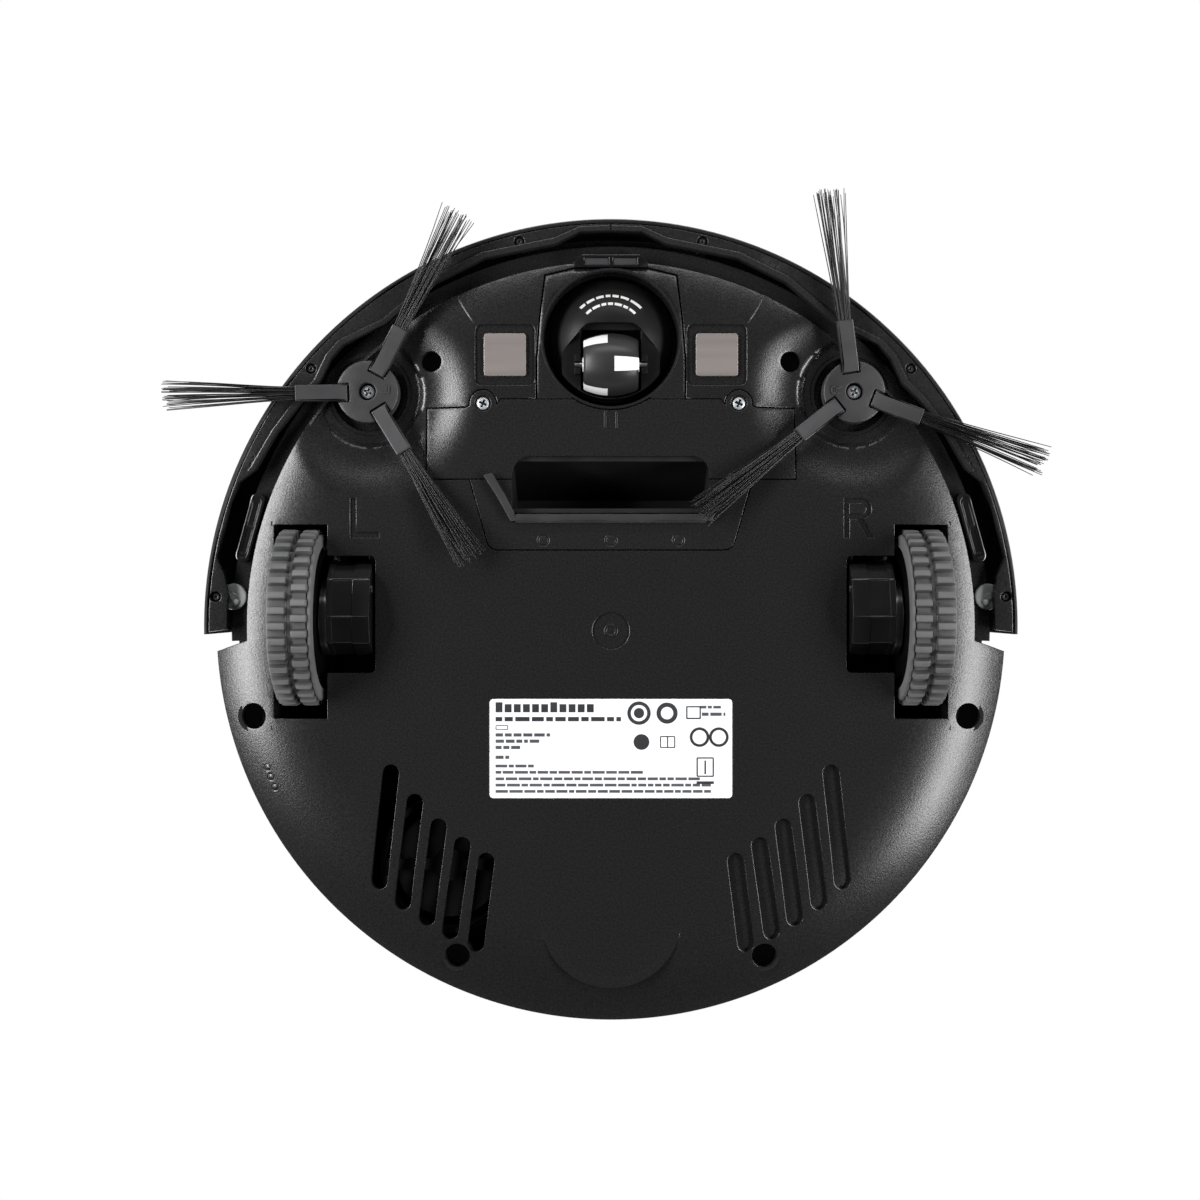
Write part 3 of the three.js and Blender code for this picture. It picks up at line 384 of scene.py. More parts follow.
def sheet(outer, height, holes=(), steps=(), thick=WALL, spacing=3.0, edge=0.3, patches=(), lip=0.2):
    """A moulded sheet of even thickness. Its face follows height(x, y), its edges are rounded, and each step
    (loop, rise) lifts the face inside a loop; a rise is a number, or a function that gives the new height."""
    rims = [(outer, -1)] + [(hole, 1) for hole in holes]
    loops, lifts, inners = [], [], []
    for rim, sign in rims:
        rim = dense(ccw(rim), 2 * spacing)
        loops += [offset(rim, sign * d) for d in (0.0, 0.3 * edge, edge)]
        lifts += [edge, 0.286 * edge, 0.0]
    for loop, rise in steps:
        loop = dense(ccw(loop), 2 * spacing)
        roll = 0.0 if callable(rise) else math.copysign(min(0.5 * lip, 0.5 * abs(rise)), rise)
        loops += [offset(loop, lip), offset(loop, 0.4 * lip), loop, offset(loop, -STEP_WALL)]
        lifts += [0.0, 0.3 * roll, roll, 0.0]
        inners.append((loops[-1], rise))
    starts = np.cumsum([0] + [len(loop) for loop in loops]).tolist()
    edges = [(a + i, a + (i + 1) % (b - a)) for a, b in zip(starts, starts[1:]) for i in range(b - a)]
    points, lift = list(loops), [np.full(len(loop), up) for loop, up in zip(loops, lifts)]
    for some, pitch in grid_points(loops[0].min(0), loops[0].max(0), spacing, patches):
        some = clear_of(some[inside(some, loops[2])], loops, 0.42 * pitch)
        points.append(some)
        lift.append(np.zeros(len(some)))
    points, lift = np.concatenate(points), np.concatenate(lift)
    z = height(points[:, 0], points[:, 1])
    for inner, rise in inners:
        held = inside(points, inner)
        for loop, a, b in zip(loops, starts, starts[1:]):  # a loop's own points are all in, or all out
            held[a:b] = loop is inner or inside(loop[:1], inner)[0]
        z = np.where(held, rise(points[:, 0], points[:, 1]) if callable(rise) else z + rise, z)
    z = z + lift
    where, _, tris, origin, *_ = delaunay_2d_cdt([Vector(p) for p in points], edges, [], 0, 1e-5)
    flat = np.array([tuple(p) for p in where])
    tops = np.array([z[o[0]] if o else float(height(*p)) for p, o in zip(where, origin)])
    centres = flat[np.array(tris)].mean(1)
    keep = inside(centres, loops[0])
    for i in range(1, len(rims)):
        keep &= ~inside(centres, loops[3 * i])
    tris = [t for t, k in zip(tris, keep) if k]
    index = {source: out for out, sources in enumerate(origin) for source in sources}
    n = len(flat)
    verts = np.concatenate([raised(flat, tops), raised(flat, tops + thick)])
    faces = [tuple(t) for t in tris] + [tuple(i + n for i in reversed(t)) for t in tris]
    for a, b in zip(starts[0:3 * len(rims):3], starts[1:3 * len(rims):3]):
        ring = [index[k] for k in range(a, b)]
        faces += [(p, q, q + n, p + n) for p, q in zip(ring, ring[1:] + ring[:1]) if p != q]
    used = sorted({v for f in faces for v in f})
    renumber = {v: i for i, v in enumerate(used)}
    return verts[used], [tuple(renumber[v] for v in f) for f in faces]


# ---------------------------------------------------------------- materials
def add_node(tree, kind, **values):
    """A shader node with its sockets set. In their names, an underscore stands for a space."""
    made = tree.nodes.new("ShaderNode" + kind)
    for name, value in values.items():
        made.inputs[name.replace("_", " ")].default_value = value
    return made


def material(name, color, rough, metal=0.0, grain=900.0, bump=0.0, mottle=0.12, smear=0.1, specular=0.5,
             coat=0.0, sheen=0.0, transmission=0.0, scuff=0.0, stretch=(1, 1, 1), gap_shade_and_grime=0.0, edge_wear_and_highlight=0.0,
             speckle=False):
    """Moulded plastic, rubber or metal: a fine grain in the surface, uneven gloss, faint mottling, smudges
    that dull it here and there, edges painted lighter (partly rubbed wear, partly a painted highlight along
    edges), and painted shade in narrow gaps where ambient occlusion finds them, standing also for grime.
    With speckle, the grain also shows in its colour and gloss. Bump and the gap shade's reach are in
    millimetres."""
    mat = bpy.data.materials.new(name)
    mat.use_nodes = True
    tree = mat.node_tree
    links, shader = tree.links, tree.nodes["Principled BSDF"]
    for socket, value in (("Metallic", metal), ("Specular IOR Level", specular), ("Coat Weight", coat),
                          ("Coat Roughness", 0.08), ("Sheen Weight", sheen),
                          ("Transmission Weight", transmission)):
        shader.inputs[socket].default_value = value
    mapping = add_node(tree, "Mapping", Scale=stretch)
    links.new(add_node(tree, "TexCoord").outputs["Object"], mapping.inputs["Vector"])

    def noise(scale, detail):
        node = add_node(tree, "TexNoise", Scale=scale, Detail=detail)
        links.new(mapping.outputs["Vector"], node.inputs["Vector"])
        return node.outputs["Fac"]

    def ranged(source, low, high, start=0.3, end=0.7):
        node = add_node(tree, "MapRange", From_Min=start, From_Max=end, To_Min=low, To_Max=high)
        links.new(source, node.inputs["Value"])
        return node.outputs["Result"]

    def tone(scale, more=0.0):
        return (*[min(1.0, c * scale + more) for c in color], 1)

    def blend(factor, a, b):
        node = tree.nodes.new("ShaderNodeMix")
        node.data_type = "RGBA"
        links.new(factor, node.inputs["Factor"])
        for socket, value in (("A", a), ("B", b)):
            if isinstance(value, tuple):
                node.inputs[socket].default_value = value
            else:
                links.new(value, node.inputs[socket])
        return node.outputs["Result"]

    fine = noise(grain, 3.0)
    tint = blend(ranged(fine if speckle else noise(35.0, 4.0), 0.0, 1.0), tone(1 - mottle),
                 tone(1 + mottle, 0.02 * mottle))
    # Painted shade: the colour darkens towards a much darker tone wherever ambient occlusion finds narrow gaps and
    # hollows.
    if gap_shade_and_grime:
        occlusion_shade = add_node(tree, "AmbientOcclusion", Distance=gap_shade_and_grime * MM)
        occlusion_shade.samples = 6
        tint = blend(ranged(occlusion_shade.outputs["AO"], 0.0, 1.0, 0.35, 0.95), tone(0.12), tint)
    # Convex edges are painted lighter: partly rubbed wear, partly a painted highlight standing in for light
    # catching the edges.
    if edge_wear_and_highlight:
        corners = add_node(tree, "NewGeometry").outputs["Pointiness"]
        tint = blend(ranged(corners, 0.0, edge_wear_and_highlight, 0.52, 0.62), tint, tone(3, 0.01))
    links.new(tint, shader.inputs["Base Color"])
    gloss = ranged(fine if speckle else noise(140.0, 5.0), rough * (1 - smear), min(1.0, rough * (1 + smear)))
    if scuff:
        total = add_node(tree, "Math")
        total.operation = "ADD"
        links.new(gloss, total.inputs[0])
        links.new(ranged(noise(48.0, 3.0), 0.0, scuff, 0.48, 0.75), total.inputs[1])
        gloss = total.outputs[0]
    links.new(gloss, shader.inputs["Roughness"])
    if bump:
        node = add_node(tree, "Bump", Strength=1.0, Distance=bump * MM)
        links.new(fine, node.inputs["Height"])
        links.new(node.outputs["Normal"], shader.inputs["Normal"])
    return mat


SPARKED = {"grain": 1400.0, "mottle": 0.14, "speckle": True}
MATERIALS = {
    "shell": material("spark_textured_abs", (0.0095, 0.009, 0.0095), 0.27, bump=0.04, smear=0.12, scuff=0.015,
                      edge_wear_and_highlight=0.12, **SPARKED),
    "plate": material("spark_textured_abs_plates", (0.010, 0.0095, 0.010), 0.28, bump=0.04, smear=0.12,
                      scuff=0.015, edge_wear_and_highlight=0.12, **SPARKED),
    "side": material("satin_housing", (0.010, 0.0095, 0.010), 0.46, specular=0.22, bump=0.045, scuff=0.03,
                     edge_wear_and_highlight=0.15, **SPARKED),
    "lip": material("satin_trim", (0.0125, 0.012, 0.0125), 0.27, bump=0.045, scuff=0.015, edge_wear_and_highlight=0.3, **SPARKED),
    "deck": material("gloss_deck", (0.008, 0.008, 0.0085), 0.2, bump=0.002, grain=300.0, coat=0.15, scuff=0.06),
    "bumper": material("satin_bumper", (0.009, 0.009, 0.0095), 0.42, specular=0.18, bump=0.004, grain=300.0,
                       scuff=0.04, edge_wear_and_highlight=0.3),
    "gloss": material("polished_black", (0.004, 0.0035, 0.004), 0.14, bump=0.002, grain=400.0, coat=0.3),
    "dome": material("satin_black", (0.0065, 0.006, 0.006), 0.4, specular=0.18, bump=0.012, edge_wear_and_highlight=0.5),
    # the gearbox case's lighter edges are a painted highlight, standing in for the thin bright lines light draws
    # along its edges
    "case": material("gearbox_black", (0.004, 0.0036, 0.0038), 0.24, specular=0.85, bump=0.004, grain=600.0,
                     edge_wear_and_highlight=0.3),
    "fan": material("fan_black", (0.002, 0.002, 0.002), 0.7, specular=0.08, bump=0.01),
    "inner": material("plain_black_moulding", (0.009, 0.009, 0.0095), 0.45, bump=0.01),
    # the brush, bristle, tyre and screw looks below get painted shade in their gaps and valleys, from the ambient
    # occlusion in material()
    "brush": material("matt_grey_moulding", (0.03, 0.029, 0.0305), 0.4, bump=0.05, grain=1100.0, mottle=0.25,
                      gap_shade_and_grime=1.5, edge_wear_and_highlight=0.3),
    "bristle": material("black_nylon", (0.008, 0.0074, 0.008), 0.32, specular=0.35, mottle=0.5, gap_shade_and_grime=1.2),
    "tyre": material("grey_rubber", (0.1, 0.1, 0.103), 0.6, bump=0.03, grain=1100.0, mottle=0.22, sheen=0.06,
                     gap_shade_and_grime=5.0),
    "tread": material("black_rubber", (0.018, 0.018, 0.019), 0.38, bump=0.012),
    "seal": material("soft_rubber", (0.014, 0.0125, 0.0135), 0.5, bump=0.03, grain=700.0, sheen=0.06, edge_wear_and_highlight=0.3),
    "white": material("white_acetal", (0.82, 0.82, 0.83), 0.35, bump=0.006, grain=600.0, mottle=0.03),
    "nylon": material("clear_nylon", (0.4, 0.42, 0.41), 0.25, grain=500.0, transmission=0.25),
    "label": material("white_label_film", (0.84, 0.845, 0.87), 0.42, bump=0.004, grain=500.0, mottle=0.015),
    "ink": material("black_ink", (0.02, 0.02, 0.022), 0.5, mottle=0.3),
    "grey_ink": material("fine_print_ink", (0.07, 0.07, 0.08), 0.5, mottle=0.3),
    "white_ink": material("white_ink", (0.6, 0.6, 0.6), 0.5),
    "nickel": material("brushed_nickel", (0.33, 0.292, 0.279), 0.5, metal=0.8, bump=0.006, mottle=0.06,
                       stretch=(0.05, 1.6, 1)),
    "steel": material("zinc_plate", (0.5, 0.51, 0.53), 0.3, metal=1.0, bump=0.004, grain=700.0, scuff=0.1),
    "blued": material("oxidised_spring_steel", (0.05, 0.05, 0.055), 0.35, metal=1.0, bump=0.004, grain=700.0),
    "can": material("drawn_steel", (0.45, 0.45, 0.46), 0.35, metal=1.0, bump=0.004, grain=500.0),
    "window": material("infrared_window", (0.006, 0.0055, 0.006), 0.2, specular=0.25, grain=300.0),
    "sensor": material("sensor_housing", (0.006, 0.0055, 0.006), 0.14, grain=300.0, coat=0.3, edge_wear_and_highlight=0.6),
    "screw": material("nickel_screw", (0.45, 0.475, 0.49), 0.5, metal=0.75, bump=0.004, grain=700.0, gap_shade_and_grime=1.0),
    "lens": material("sensor_lens", (0.04, 0.04, 0.042), 0.3, grain=300.0, coat=0.5),
    "button": material("metallised_button", (0.3, 0.3, 0.315), 0.34, metal=0.8, bump=0.003, grain=600.0),
    "bin": material("smoke_plastic", (0.07, 0.075, 0.085), 0.2, grain=300.0, transmission=0.35),
    "fleece": material("filter_fleece", (0.7, 0.68, 0.62), 0.9, bump=0.12, grain=500.0, sheen=0.3),
    "wrap": material("blue_wrap", (0.03, 0.12, 0.38), 0.35, bump=0.01, grain=200.0),
    "board": material("green_board", (0.02, 0.16, 0.07), 0.4, bump=0.01, grain=700.0),
}


# ---------------------------------------------------------------- pieces
def add_object(name, data):
    made = bpy.data.objects.new(name, data)
    bpy.context.scene.collection.objects.link(made)
    return made


def piece(name, shells, look, body, stands_for=(), sharp=32.0):
    """Shells in millimetres as one named object on a body, in place of the CAD nodes it stands for."""
    verts, faces = [], []
    for some, polygons in shells:
        base = len(verts)
        verts += [tuple(v) for v in np.asarray(some) * MM]
        faces += [tuple(base + i for i in f) for f in polygons]
    mesh = bpy.data.meshes.new(name)
    mesh.from_pydata(verts, [], faces)
    work = bmesh.new()
    work.from_mesh(mesh)
    bmesh.ops.dissolve_degenerate(work, dist=1e-7, edges=work.edges)
    bmesh.ops.recalc_face_normals(work, faces=work.faces)
    work.to_mesh(mesh)
    work.free()
    mesh.shade_smooth()
    mesh.set_sharp_from_angle(angle=math.radians(sharp))
    mesh.materials.append(MATERIALS[look])
    made = add_object(name, mesh)
    even = made.modifiers.new("even", "WEIGHTED_NORMAL")
    even.weight, even.keep_sharp = 80, True
    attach(made, body)
    if stands_for:
        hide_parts(*([stands_for] if isinstance(stands_for, str) else stands_for))
    return made


def dress(node, look, sharp=30.0):
    """A carried-over CAD node: its seams are welded and its round faces are shaded smooth."""
    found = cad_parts[node]
    found.data.materials.clear()
    found.data.materials.append(MATERIALS[look])
    if found.data.has_custom_normals:
        found.data.attributes.remove(found.data.attributes["custom_normal"])
    found.data.shade_smooth()
    weld = found.modifiers.new("weld", "WELD")
    weld.merge_threshold = 0.00001
    split = found.modifiers.new("sharp", "EDGE_SPLIT")
    split.split_angle = math.radians(sharp)


# ---------------------------------------------------------------- the underside
def rim_height(r):
    return np.where(r > FLAT_R, RIM_Z * ((r - FLAT_R) / (BODY_R - FLAT_R)) ** 2, 0.0)


def dish_height(d):
    start, depth = DISH[-1]
    far = np.clip((d - start) / (DISH_END - start), 0, 1)
    return np.where(d < start, np.interp(d, *zip(*DISH)), depth * 0.5 * (1 + np.cos(math.pi * far)))


def underside(x, y):
    """Height of the underside: flat, curled up at the rim and dished around the side brushes."""
    r = np.hypot(x, y)
    dish = np.zeros_like(r)
    for sign in SIDES.values():
        dish = np.maximum(dish, dish_height(np.hypot(x - sign * BRUSH["x"], y - BRUSH["y"])))
    return (rim_height(r) ** 3 + dish ** 3) ** (1 / 3)


def round_cup(r, x):
    """The rear of a circle around the caster, from the half-width x to the middle line."""
    return [(r * math.sin(a), CASTER["y"] + r * math.cos(a)) for a in np.linspace(math.asin(x / r), 0, 6)]


def cover_outline(gap=0.0):
    x, front, rear, (sx, sy), tab = (COVER[k] for k in ("x", "front", "rear", "screw", "tab"))
    tabs = [(sx + tab * math.cos(t), sy + tab * math.sin(t)) for t in np.radians(np.linspace(10, -190, 11))]
    half = [(x, rear), (x, front), (sx + tab + 1.6, front), *tabs, (sx - tab - 1.8, front - 2.9),
            (14.0, front - 2.9)]
    return offset(mirrored(half + round_cup(CASTER["cup"] + 1.6, 14.0)), gap)


def plate_outline(gap=0.0):
    front, rear = PLATE["front"], PLATE["rear"]
    loop = rounded([(-51.8, front), (51.8, front), (44.6, rear), (-44.6, rear)], (0.3, 0.3, 4.5, 4.5), 6)
    return offset(loop, gap)


def socket_outline(gap=0.0):
    half = [(0.0, -131.7), (13.9, -131.7), (24.2, -math.sqrt(131.4 ** 2 - 24.2 ** 2)), (26.2, -112.0),
            (27.2, -98.0), (27.2, -83.2), (14.3, -83.2)]
    return offset(mirrored(half + round_cup(CASTER["cup"] + 1.3, 14.3)), gap)


def letter_l(x):
    y0, y1 = LETTER_Y
    w = 2.1
    return [(x, y0), (x + w, y0), (x + w, y1 - w), (x + 10.6, y1 - w), (x + 10.6, y1), (x, y1)]


def letter_r(x):
    """Its outline, and the hole in its bowl."""
    y0, y1 = LETTER_Y
    w = 2.0
    middle = (y0 + y1) / 2 + 0.4
    centre, half = (y0 + middle) / 2, (middle - y0) / 2

    def bowl(px, rx, ry, n):
        return [(px + rx * math.sin(t), centre - ry * math.cos(t)) for t in np.linspace(0, math.pi, n)]

    outline = [(x, y0), *bowl(x + 6.2, 3.9, half, 9), (x + 7.2, middle), (x + 11.0, y1), (x + 8.6, y1),
               (x + 4.9, middle), (x + w, middle), (x + w, y1), (x, y1)]
    return outline, [(x + w, y0 + w), *bowl(x + 6.0, 2.1, half - w, 7), (x + w, middle - w)]


def base_steps():
    """All that is pressed into or stands on the underside, as (loop, rise); a negative rise stands out."""
    steps = []
    ridge = [(50.2, -111.2), (51.6, -113.4), (53.4, -116.0), (55.3, -119.2), (56.6, -121.6)]
    for sign in SIDES.values():
        frame_loop = centred(sign * CONTACT["x"], CONTACT["y"], CONTACT["frame_w"], CONTACT["frame_h"], 2.6)
        steps.append((frame_loop, 0.9))
        steps.append((circle(BRUSH_RING_R, sign * BRUSH["x"], BRUSH["y"], 56), 0.35))
        steps.append((np.array(ridge + [(x + 0.3, y) for x, y in ridge[::-1]]) * (sign, 1), -0.14))
    steps += [(slot_loop(a, b, VENT_WIDTH), 1.9) for a, b in VENTS]
    steps += [(circle(r, 0, CENTRE_MARK_Y, n), rise)
              for r, n, rise in ((6.8, 40, 0.7), (2.4, 24, -0.5), (1.5, 20, 0.35))]
    steps.append((centred(0, LABEL["y"], LABEL["w"] + 0.8, LABEL["h"] + 0.8, 1.9, 4), 0.12))
    outline, hole = letter_r(85.6)
    steps += [(letter_l(-95.7), LETTER_DEPTH), (outline, LETTER_DEPTH), (hole, -LETTER_DEPTH)]
    steps.append((circle(PAD["r"], 0, PAD["y"], 90), level(0.0)))
    for x, y in ((-126.9, 52.4), (-125.7, 56.0), (-124.2, 59.8)):
        steps += [(circle(r, x, y, 20), rise) for r, rise in ((1.35, 0.12), (0.9, -0.12))]
    return steps


def base_skin():
    centre = union([cover_outline(0.35), plate_outline(0.35), socket_outline(0.35)])
    x0, x1, y0, y1 = SLOT
    bx0, _, by0, by1 = BOSS_SLOT
    wheel = rounded([(x1, y0), (x1, y1), (x0, y1), (x0, by1), (bx0, by1), (bx0, by0), (x0, by0), (x0, y0)],
                    (0.4, 0.4, 0.4, 0.6, 2.2, 2.2, 0.6, 0.4), 4)
    wells = [circle(r, sign * x, y, 30) for x, y, r in WELLS for sign in (1, -1)]
    vents = [mirror_x(slot_loop(a, b, VENT_WIDTH)) for a, b in VENTS]
    hubs = [circle(BRUSH_SEAT_R, sign * BRUSH["x"], BRUSH["y"], 56) for sign in SIDES.values()]
    outline = ccw(arc(BODY_R, A_REAR, 360 - A_REAR, 1.2) + arc(SKIRT_R, -A_FRONT, A_FRONT, 1.2))
    return sheet(outline, underside, [centre, wheel, mirror_x(wheel)] + wells + vents + hubs, base_steps(),
                 lip=0.3, patches=DISH_PATCHES)


def curtain(a, b, outwards, top):
    """The wall behind one bumper end, from the curled skin up to the parting line."""
    rings = []
    for t in np.linspace(0, 1, 9):
        p = a + (b - a) * t
        foot = float(underside(*p)) + 0.5
        rings.append([(*q, z) for q, z in ((p, foot), (p, top), (p + outwards, top), (p + outwards, foot))])
    return loft(rings)


def slot_wall(thick, z0, z1, gap_end, rear):
    """The wall round the wheel slot, open on its inner side where the gearbox swings."""
    x0, x1, y0, _ = SLOT
    inner = [(x0 - thick, gap_end), (x0, gap_end), (x0, rear), (x1, rear), (x1, y0), (x0, y0)]
    outer = [(x0, y0 - thick), (x1 + thick, y0 - thick), (x1 + thick, rear + thick), (x0 - thick, rear + thick)]
    return slab(inner + outer, z0, z1, 0.3)


def base_shell():
    skirt = [(SKIRT_R - 1.0, 5.0), (SKIRT_R, 5.2), (SKIRT_R, LEDGE_Z - 0.5), (SKIRT_R + 0.5, LEDGE_Z),
             (FRONT_R - 0.4, LEDGE_Z), (FRONT_R, LEDGE_Z + 0.4), (FRONT_R, SPLIT_Z), (FRONT_R - WALL, SPLIT_Z),
             (FRONT_R - WALL, LEDGE_Z + WALL), (SKIRT_R - 1.0, LEDGE_Z + WALL)]
    rear = [(BODY_R - WALL, 10.6), (BODY_R - 0.5, 10.6), (BODY_R, 11.5), (BODY_R, SPLIT_Z - 0.4),
            (BODY_R - 0.4, SPLIT_Z), (BODY_R - WALL, SPLIT_Z)]
    seat = [(BRUSH_SEAT_R, 7.4), (15.6, 7.4), (15.6, 12.0), (4.2, 12.0), (4.2, 10.4), (BRUSH_SEAT_R, 10.4)]
    shells = [base_skin(), swept(skirt, -A_FRONT, A_FRONT), swept(rear, A_REAR + 0.2, 360 - A_REAR - 0.2)]
    for sign in SIDES.values():
        ends = np.array([(sign * SKIRT_R, STEP_INNER), (sign * (BODY_R - 0.4), STEP_OUTER)])
        shells.append(curtain(*ends, (0, 2.2), SPLIT_Z))
        shells.append(on_side(slot_wall(1.5, WALL, 30.0, 18.5, 37.0), sign))
        for x, y, r in WELLS:
            foot = float(underside(x, y)) + 1.4
            sleeve = [(0, 13.0), (r, 12.4), (r, foot), (r + 1.4, foot), (r + 1.4, 14.0), (0, 14.0)]
            shells.append(on_side(revolve(sleeve, 30, x, y), sign))
        shells.append(on_side(revolve(seat, 48, BRUSH["x"], BRUSH["y"]), sign))
    piece("underside_shell", shells, "shell", "chassis", "base_shell")


def bitten(loop, half):
    """A loop with a bite let into its one long side across the middle line, given the bite's right half."""
    bite = half + [(-x, y) for x, y in half[::-1]]
    out = []
    for p, q in zip(loop, np.roll(loop, -1, 0)):
        out.append(p)
        if p[0] * q[0] < 0 and abs(p[1] - half[0][1]) < 0.4:
            out += bite if p[0] > 0 else bite[::-1]
    return np.array(out)


def battery_cover():
    """The cover, less the inlet's mouth that its rear edge closes."""
    x, front, r = MOUTH["x"], MOUTH["front"], MOUTH["corner"]
    bite = [(x - 0.1, COVER["rear"])] + [(x - r + r * math.cos(t), front + r - r * math.sin(t))
                                         for t in np.linspace(0.0, math.pi / 2, 8)]
    steps = []
    for sign in SIDES.values():
        steps.append((circle(3.0, sign * COVER["screw"][0], COVER["screw"][1], 24), 1.0))
        steps.append((rectangle(sign * 2.1 - 0.35, sign * 2.1 + 0.35, -78.9, -72.6, 0.3, 2), -0.45))
    body = sheet(bitten(cover_outline(), bite), underside, [], steps, spacing=2.2, patches=DISH_PATCHES)
    piece("battery_door", [body], "plate", "chassis", "battery_cover")


def squeegee_plate():
    bite = [(MOUTH["x"], PLATE["front"]), (MOUTH["x"], MOUTH["rear"] + 3.4)]
    steps = [(circle(r, x, PLATE["dot_y"], n), rise) for x in (-24.8, 0.0, 24.8)
             for r, n, rise in ((2.3, 22, 0.22), (1.5, 18, -0.3))]
    body = sheet(bitten(plate_outline(), bite), level(0.0), [], steps, spacing=2.6)
    piece("squeegee_carrier", [body], "plate", "chassis", "squeegee_plate")


def caster_socket():
    y, cup = CASTER["y"], CASTER["cup"]
    body = sheet(socket_outline(), underside, [circle(cup, 0, y, 96)], spacing=2.4, edge=0.9)
    wall = [(cup, 1.6), (cup, 16.4), (3.6, 16.4), (3.6, 38.0), (5.6, 38.0), (5.6, 18.0), (cup + 1.3, 18.0),
            (cup + 1.3, 1.6)]
    bead = [(cup + 0.05, 0.9), (cup + 0.1, 0.1), (cup + 0.35, -0.25), (cup + 0.8, -0.3), (cup + 1.1, 0.0),
            (cup + 1.15, 0.9)]
    piece("caster_cup", [body, revolve(wall, 96, 0, y), revolve(bead, 96, 0, y)], "plate", "chassis",
          "caster_socket")


# ---------------------------------------------------------------- brushes
def arm_place(shell, angle, sign):
    """Moves a shell made along +X into the place of one brush arm."""
    drooped = moved(shell, (0, BRUSH["droop"], 0), (0, 0, BRUSH["z"]))
    return moved(drooped, (0, 0, angle), (sign * BRUSH["x"], BRUSH["y"], 0))


def brush_arm():
    """A tapered block with rounded edges, from the hub to the mouth where the bristles leave."""
    w = BRUSH["width"] / 2
    outline = [(7.5, -w - 0.5), (11.0, -w), (BRUSH["arm"], -w), (BRUSH["arm"], w), (11.0, w), (7.5, w - 0.2)]
    return slab(rounded(outline, (0.3, 0.3, 0.5, 0.5, 0.3, 0.3), 3), -1.9, 1.9, 0.55)


def bristles(seed):
    """Filaments packed in the arm's mouth, fanning out and curling a little at their tips."""
    rng = np.random.default_rng(seed)
    shells = []
    w = BRUSH["width"] / 2 - 0.75
    rows, columns = 3, 12
    for row in range(rows):
        for column in range(columns):
            v = (column + 0.5 + rng.uniform(-0.4, 0.4)) / columns * 2 - 1
            u = (row + 0.5 + rng.uniform(-0.35, 0.35)) / rows * 2 - 1
            start = np.array([BRUSH["arm"] - 1.2, v * w, u * 1.2])
            length = BRUSH["reach"] - BRUSH["arm"] - rng.uniform(0.0, 3.2)
            spread = np.array([0.0, v * 3.0 + rng.normal(0, 0.8), u * 0.6 + rng.normal(0, 0.35)])
            curl = np.array([0.0, rng.normal(0, 0.5), rng.normal(0, 0.25)])
            points = [start + np.array([length * t, 0, 0]) + spread * t ** 1.25 + curl * math.sin(3.0 * t) * t
                      for t in np.linspace(0, 1, 6)]
            shells.append(tube(points, [0.21, 0.21, 0.2, 0.19, 0.17, 0.13]))
    return shells


def phillips(x, y, z, head):
    """A pan head with a cross recess, facing down."""
    w, l, depth = head * 0.17, head * 0.6, 1.1
    cross = [(w, w), (w, l), (-w, l), (-w, w), (-l, w), (-l, -w), (-w, -w), (-w, -l), (w, -l), (w, -w), (l, -w),
             (l, w)]
    return sheet(circle(head, x, y, 40), lambda px, py: z + 0.22 * ((px - x) ** 2 + (py - y) ** 2) / head, [],
                 [(turned(cross, 24, (x, y)), 0.75 * depth)], thick=depth, spacing=0.7, lip=0.08)


def hub_mark(side):
    """A small plain letter beside the screw, made of strokes."""
    if side == "left":
        return [[(4.6, 0.6), (8.2, 0.6), (8.2, -2.2), (7.7, -2.2), (7.7, 0.1), (4.6, 0.1)]]
    bars = [((-8.4, 0.6), (-4.8, 0.6)), ((-8.4, 0.6), (-8.4, -1.7)), ((-8.4, -1.7), (-6.7, -1.7)),
            ((-6.7, -1.7), (-6.7, 0.6)), ((-6.7, -0.6), (-4.8, -1.7))]
    return [slot_loop(a, b, 0.5, 4) for a, b in bars]


def side_brush(side, sign):
    x, y = centre = (sign * BRUSH["x"], BRUSH["y"])
    hub_r, half = BRUSH["hub"], BRUSH["width"] / 2
    skirt = [(0, 2.6), (3.2, 2.6), (hub_r - 0.6, 1.4), (hub_r, 1.2), (hub_r, 6.2), (0, 6.2)]
    slots = [(turned(rectangle(6.5, hub_r - 0.5, -half - 0.75, half + 0.5, 0.5, 3), angle, centre), 1.2)
             for angle in BRUSH_TURN[side]]

    def crown(px, py):
        return -1.45 + 0.95 * ((px - x) ** 2 + (py - y) ** 2) / hub_r ** 2

    face = sheet(circle(hub_r, x, y, 72), crown, [circle(3.2, x, y)], slots, thick=2.6, spacing=1.6, edge=0.5,
                 lip=0.15)
    shells = [revolve(skirt, 64, x, y), face]
    shells += [arm_place(brush_arm(), angle, sign) for angle in BRUSH_TURN[side]]
    shells += [moved(slab(loop, -1.3, -1.0, 0.04), by=(x, y, 0)) for loop in hub_mark(side)]
    piece(f"side_brush_{side}", shells, "brush", f"brush_{side}", f"brush_hub_{side}")
    for i, angle in enumerate(BRUSH_TURN[side]):
        strands = [arm_place(s, angle, sign) for s in bristles(11 + 7 * i + 40 * (sign > 0))]
        piece(f"tuft_{side}_{i + 1}", strands, "bristle", f"brush_{side}", f"bristles_{side}_{i + 1}", 80)
    shank = revolve([(0, 1.4), (1.3, 1.4), (1.3, 6.4), (0, 6.4)], 20, x, y)
    piece(f"brush_fixing_{side}", [phillips(x, y, 0.4, 2.6), shank], "screw", f"brush_{side}",
          f"brush_screw_{side}")


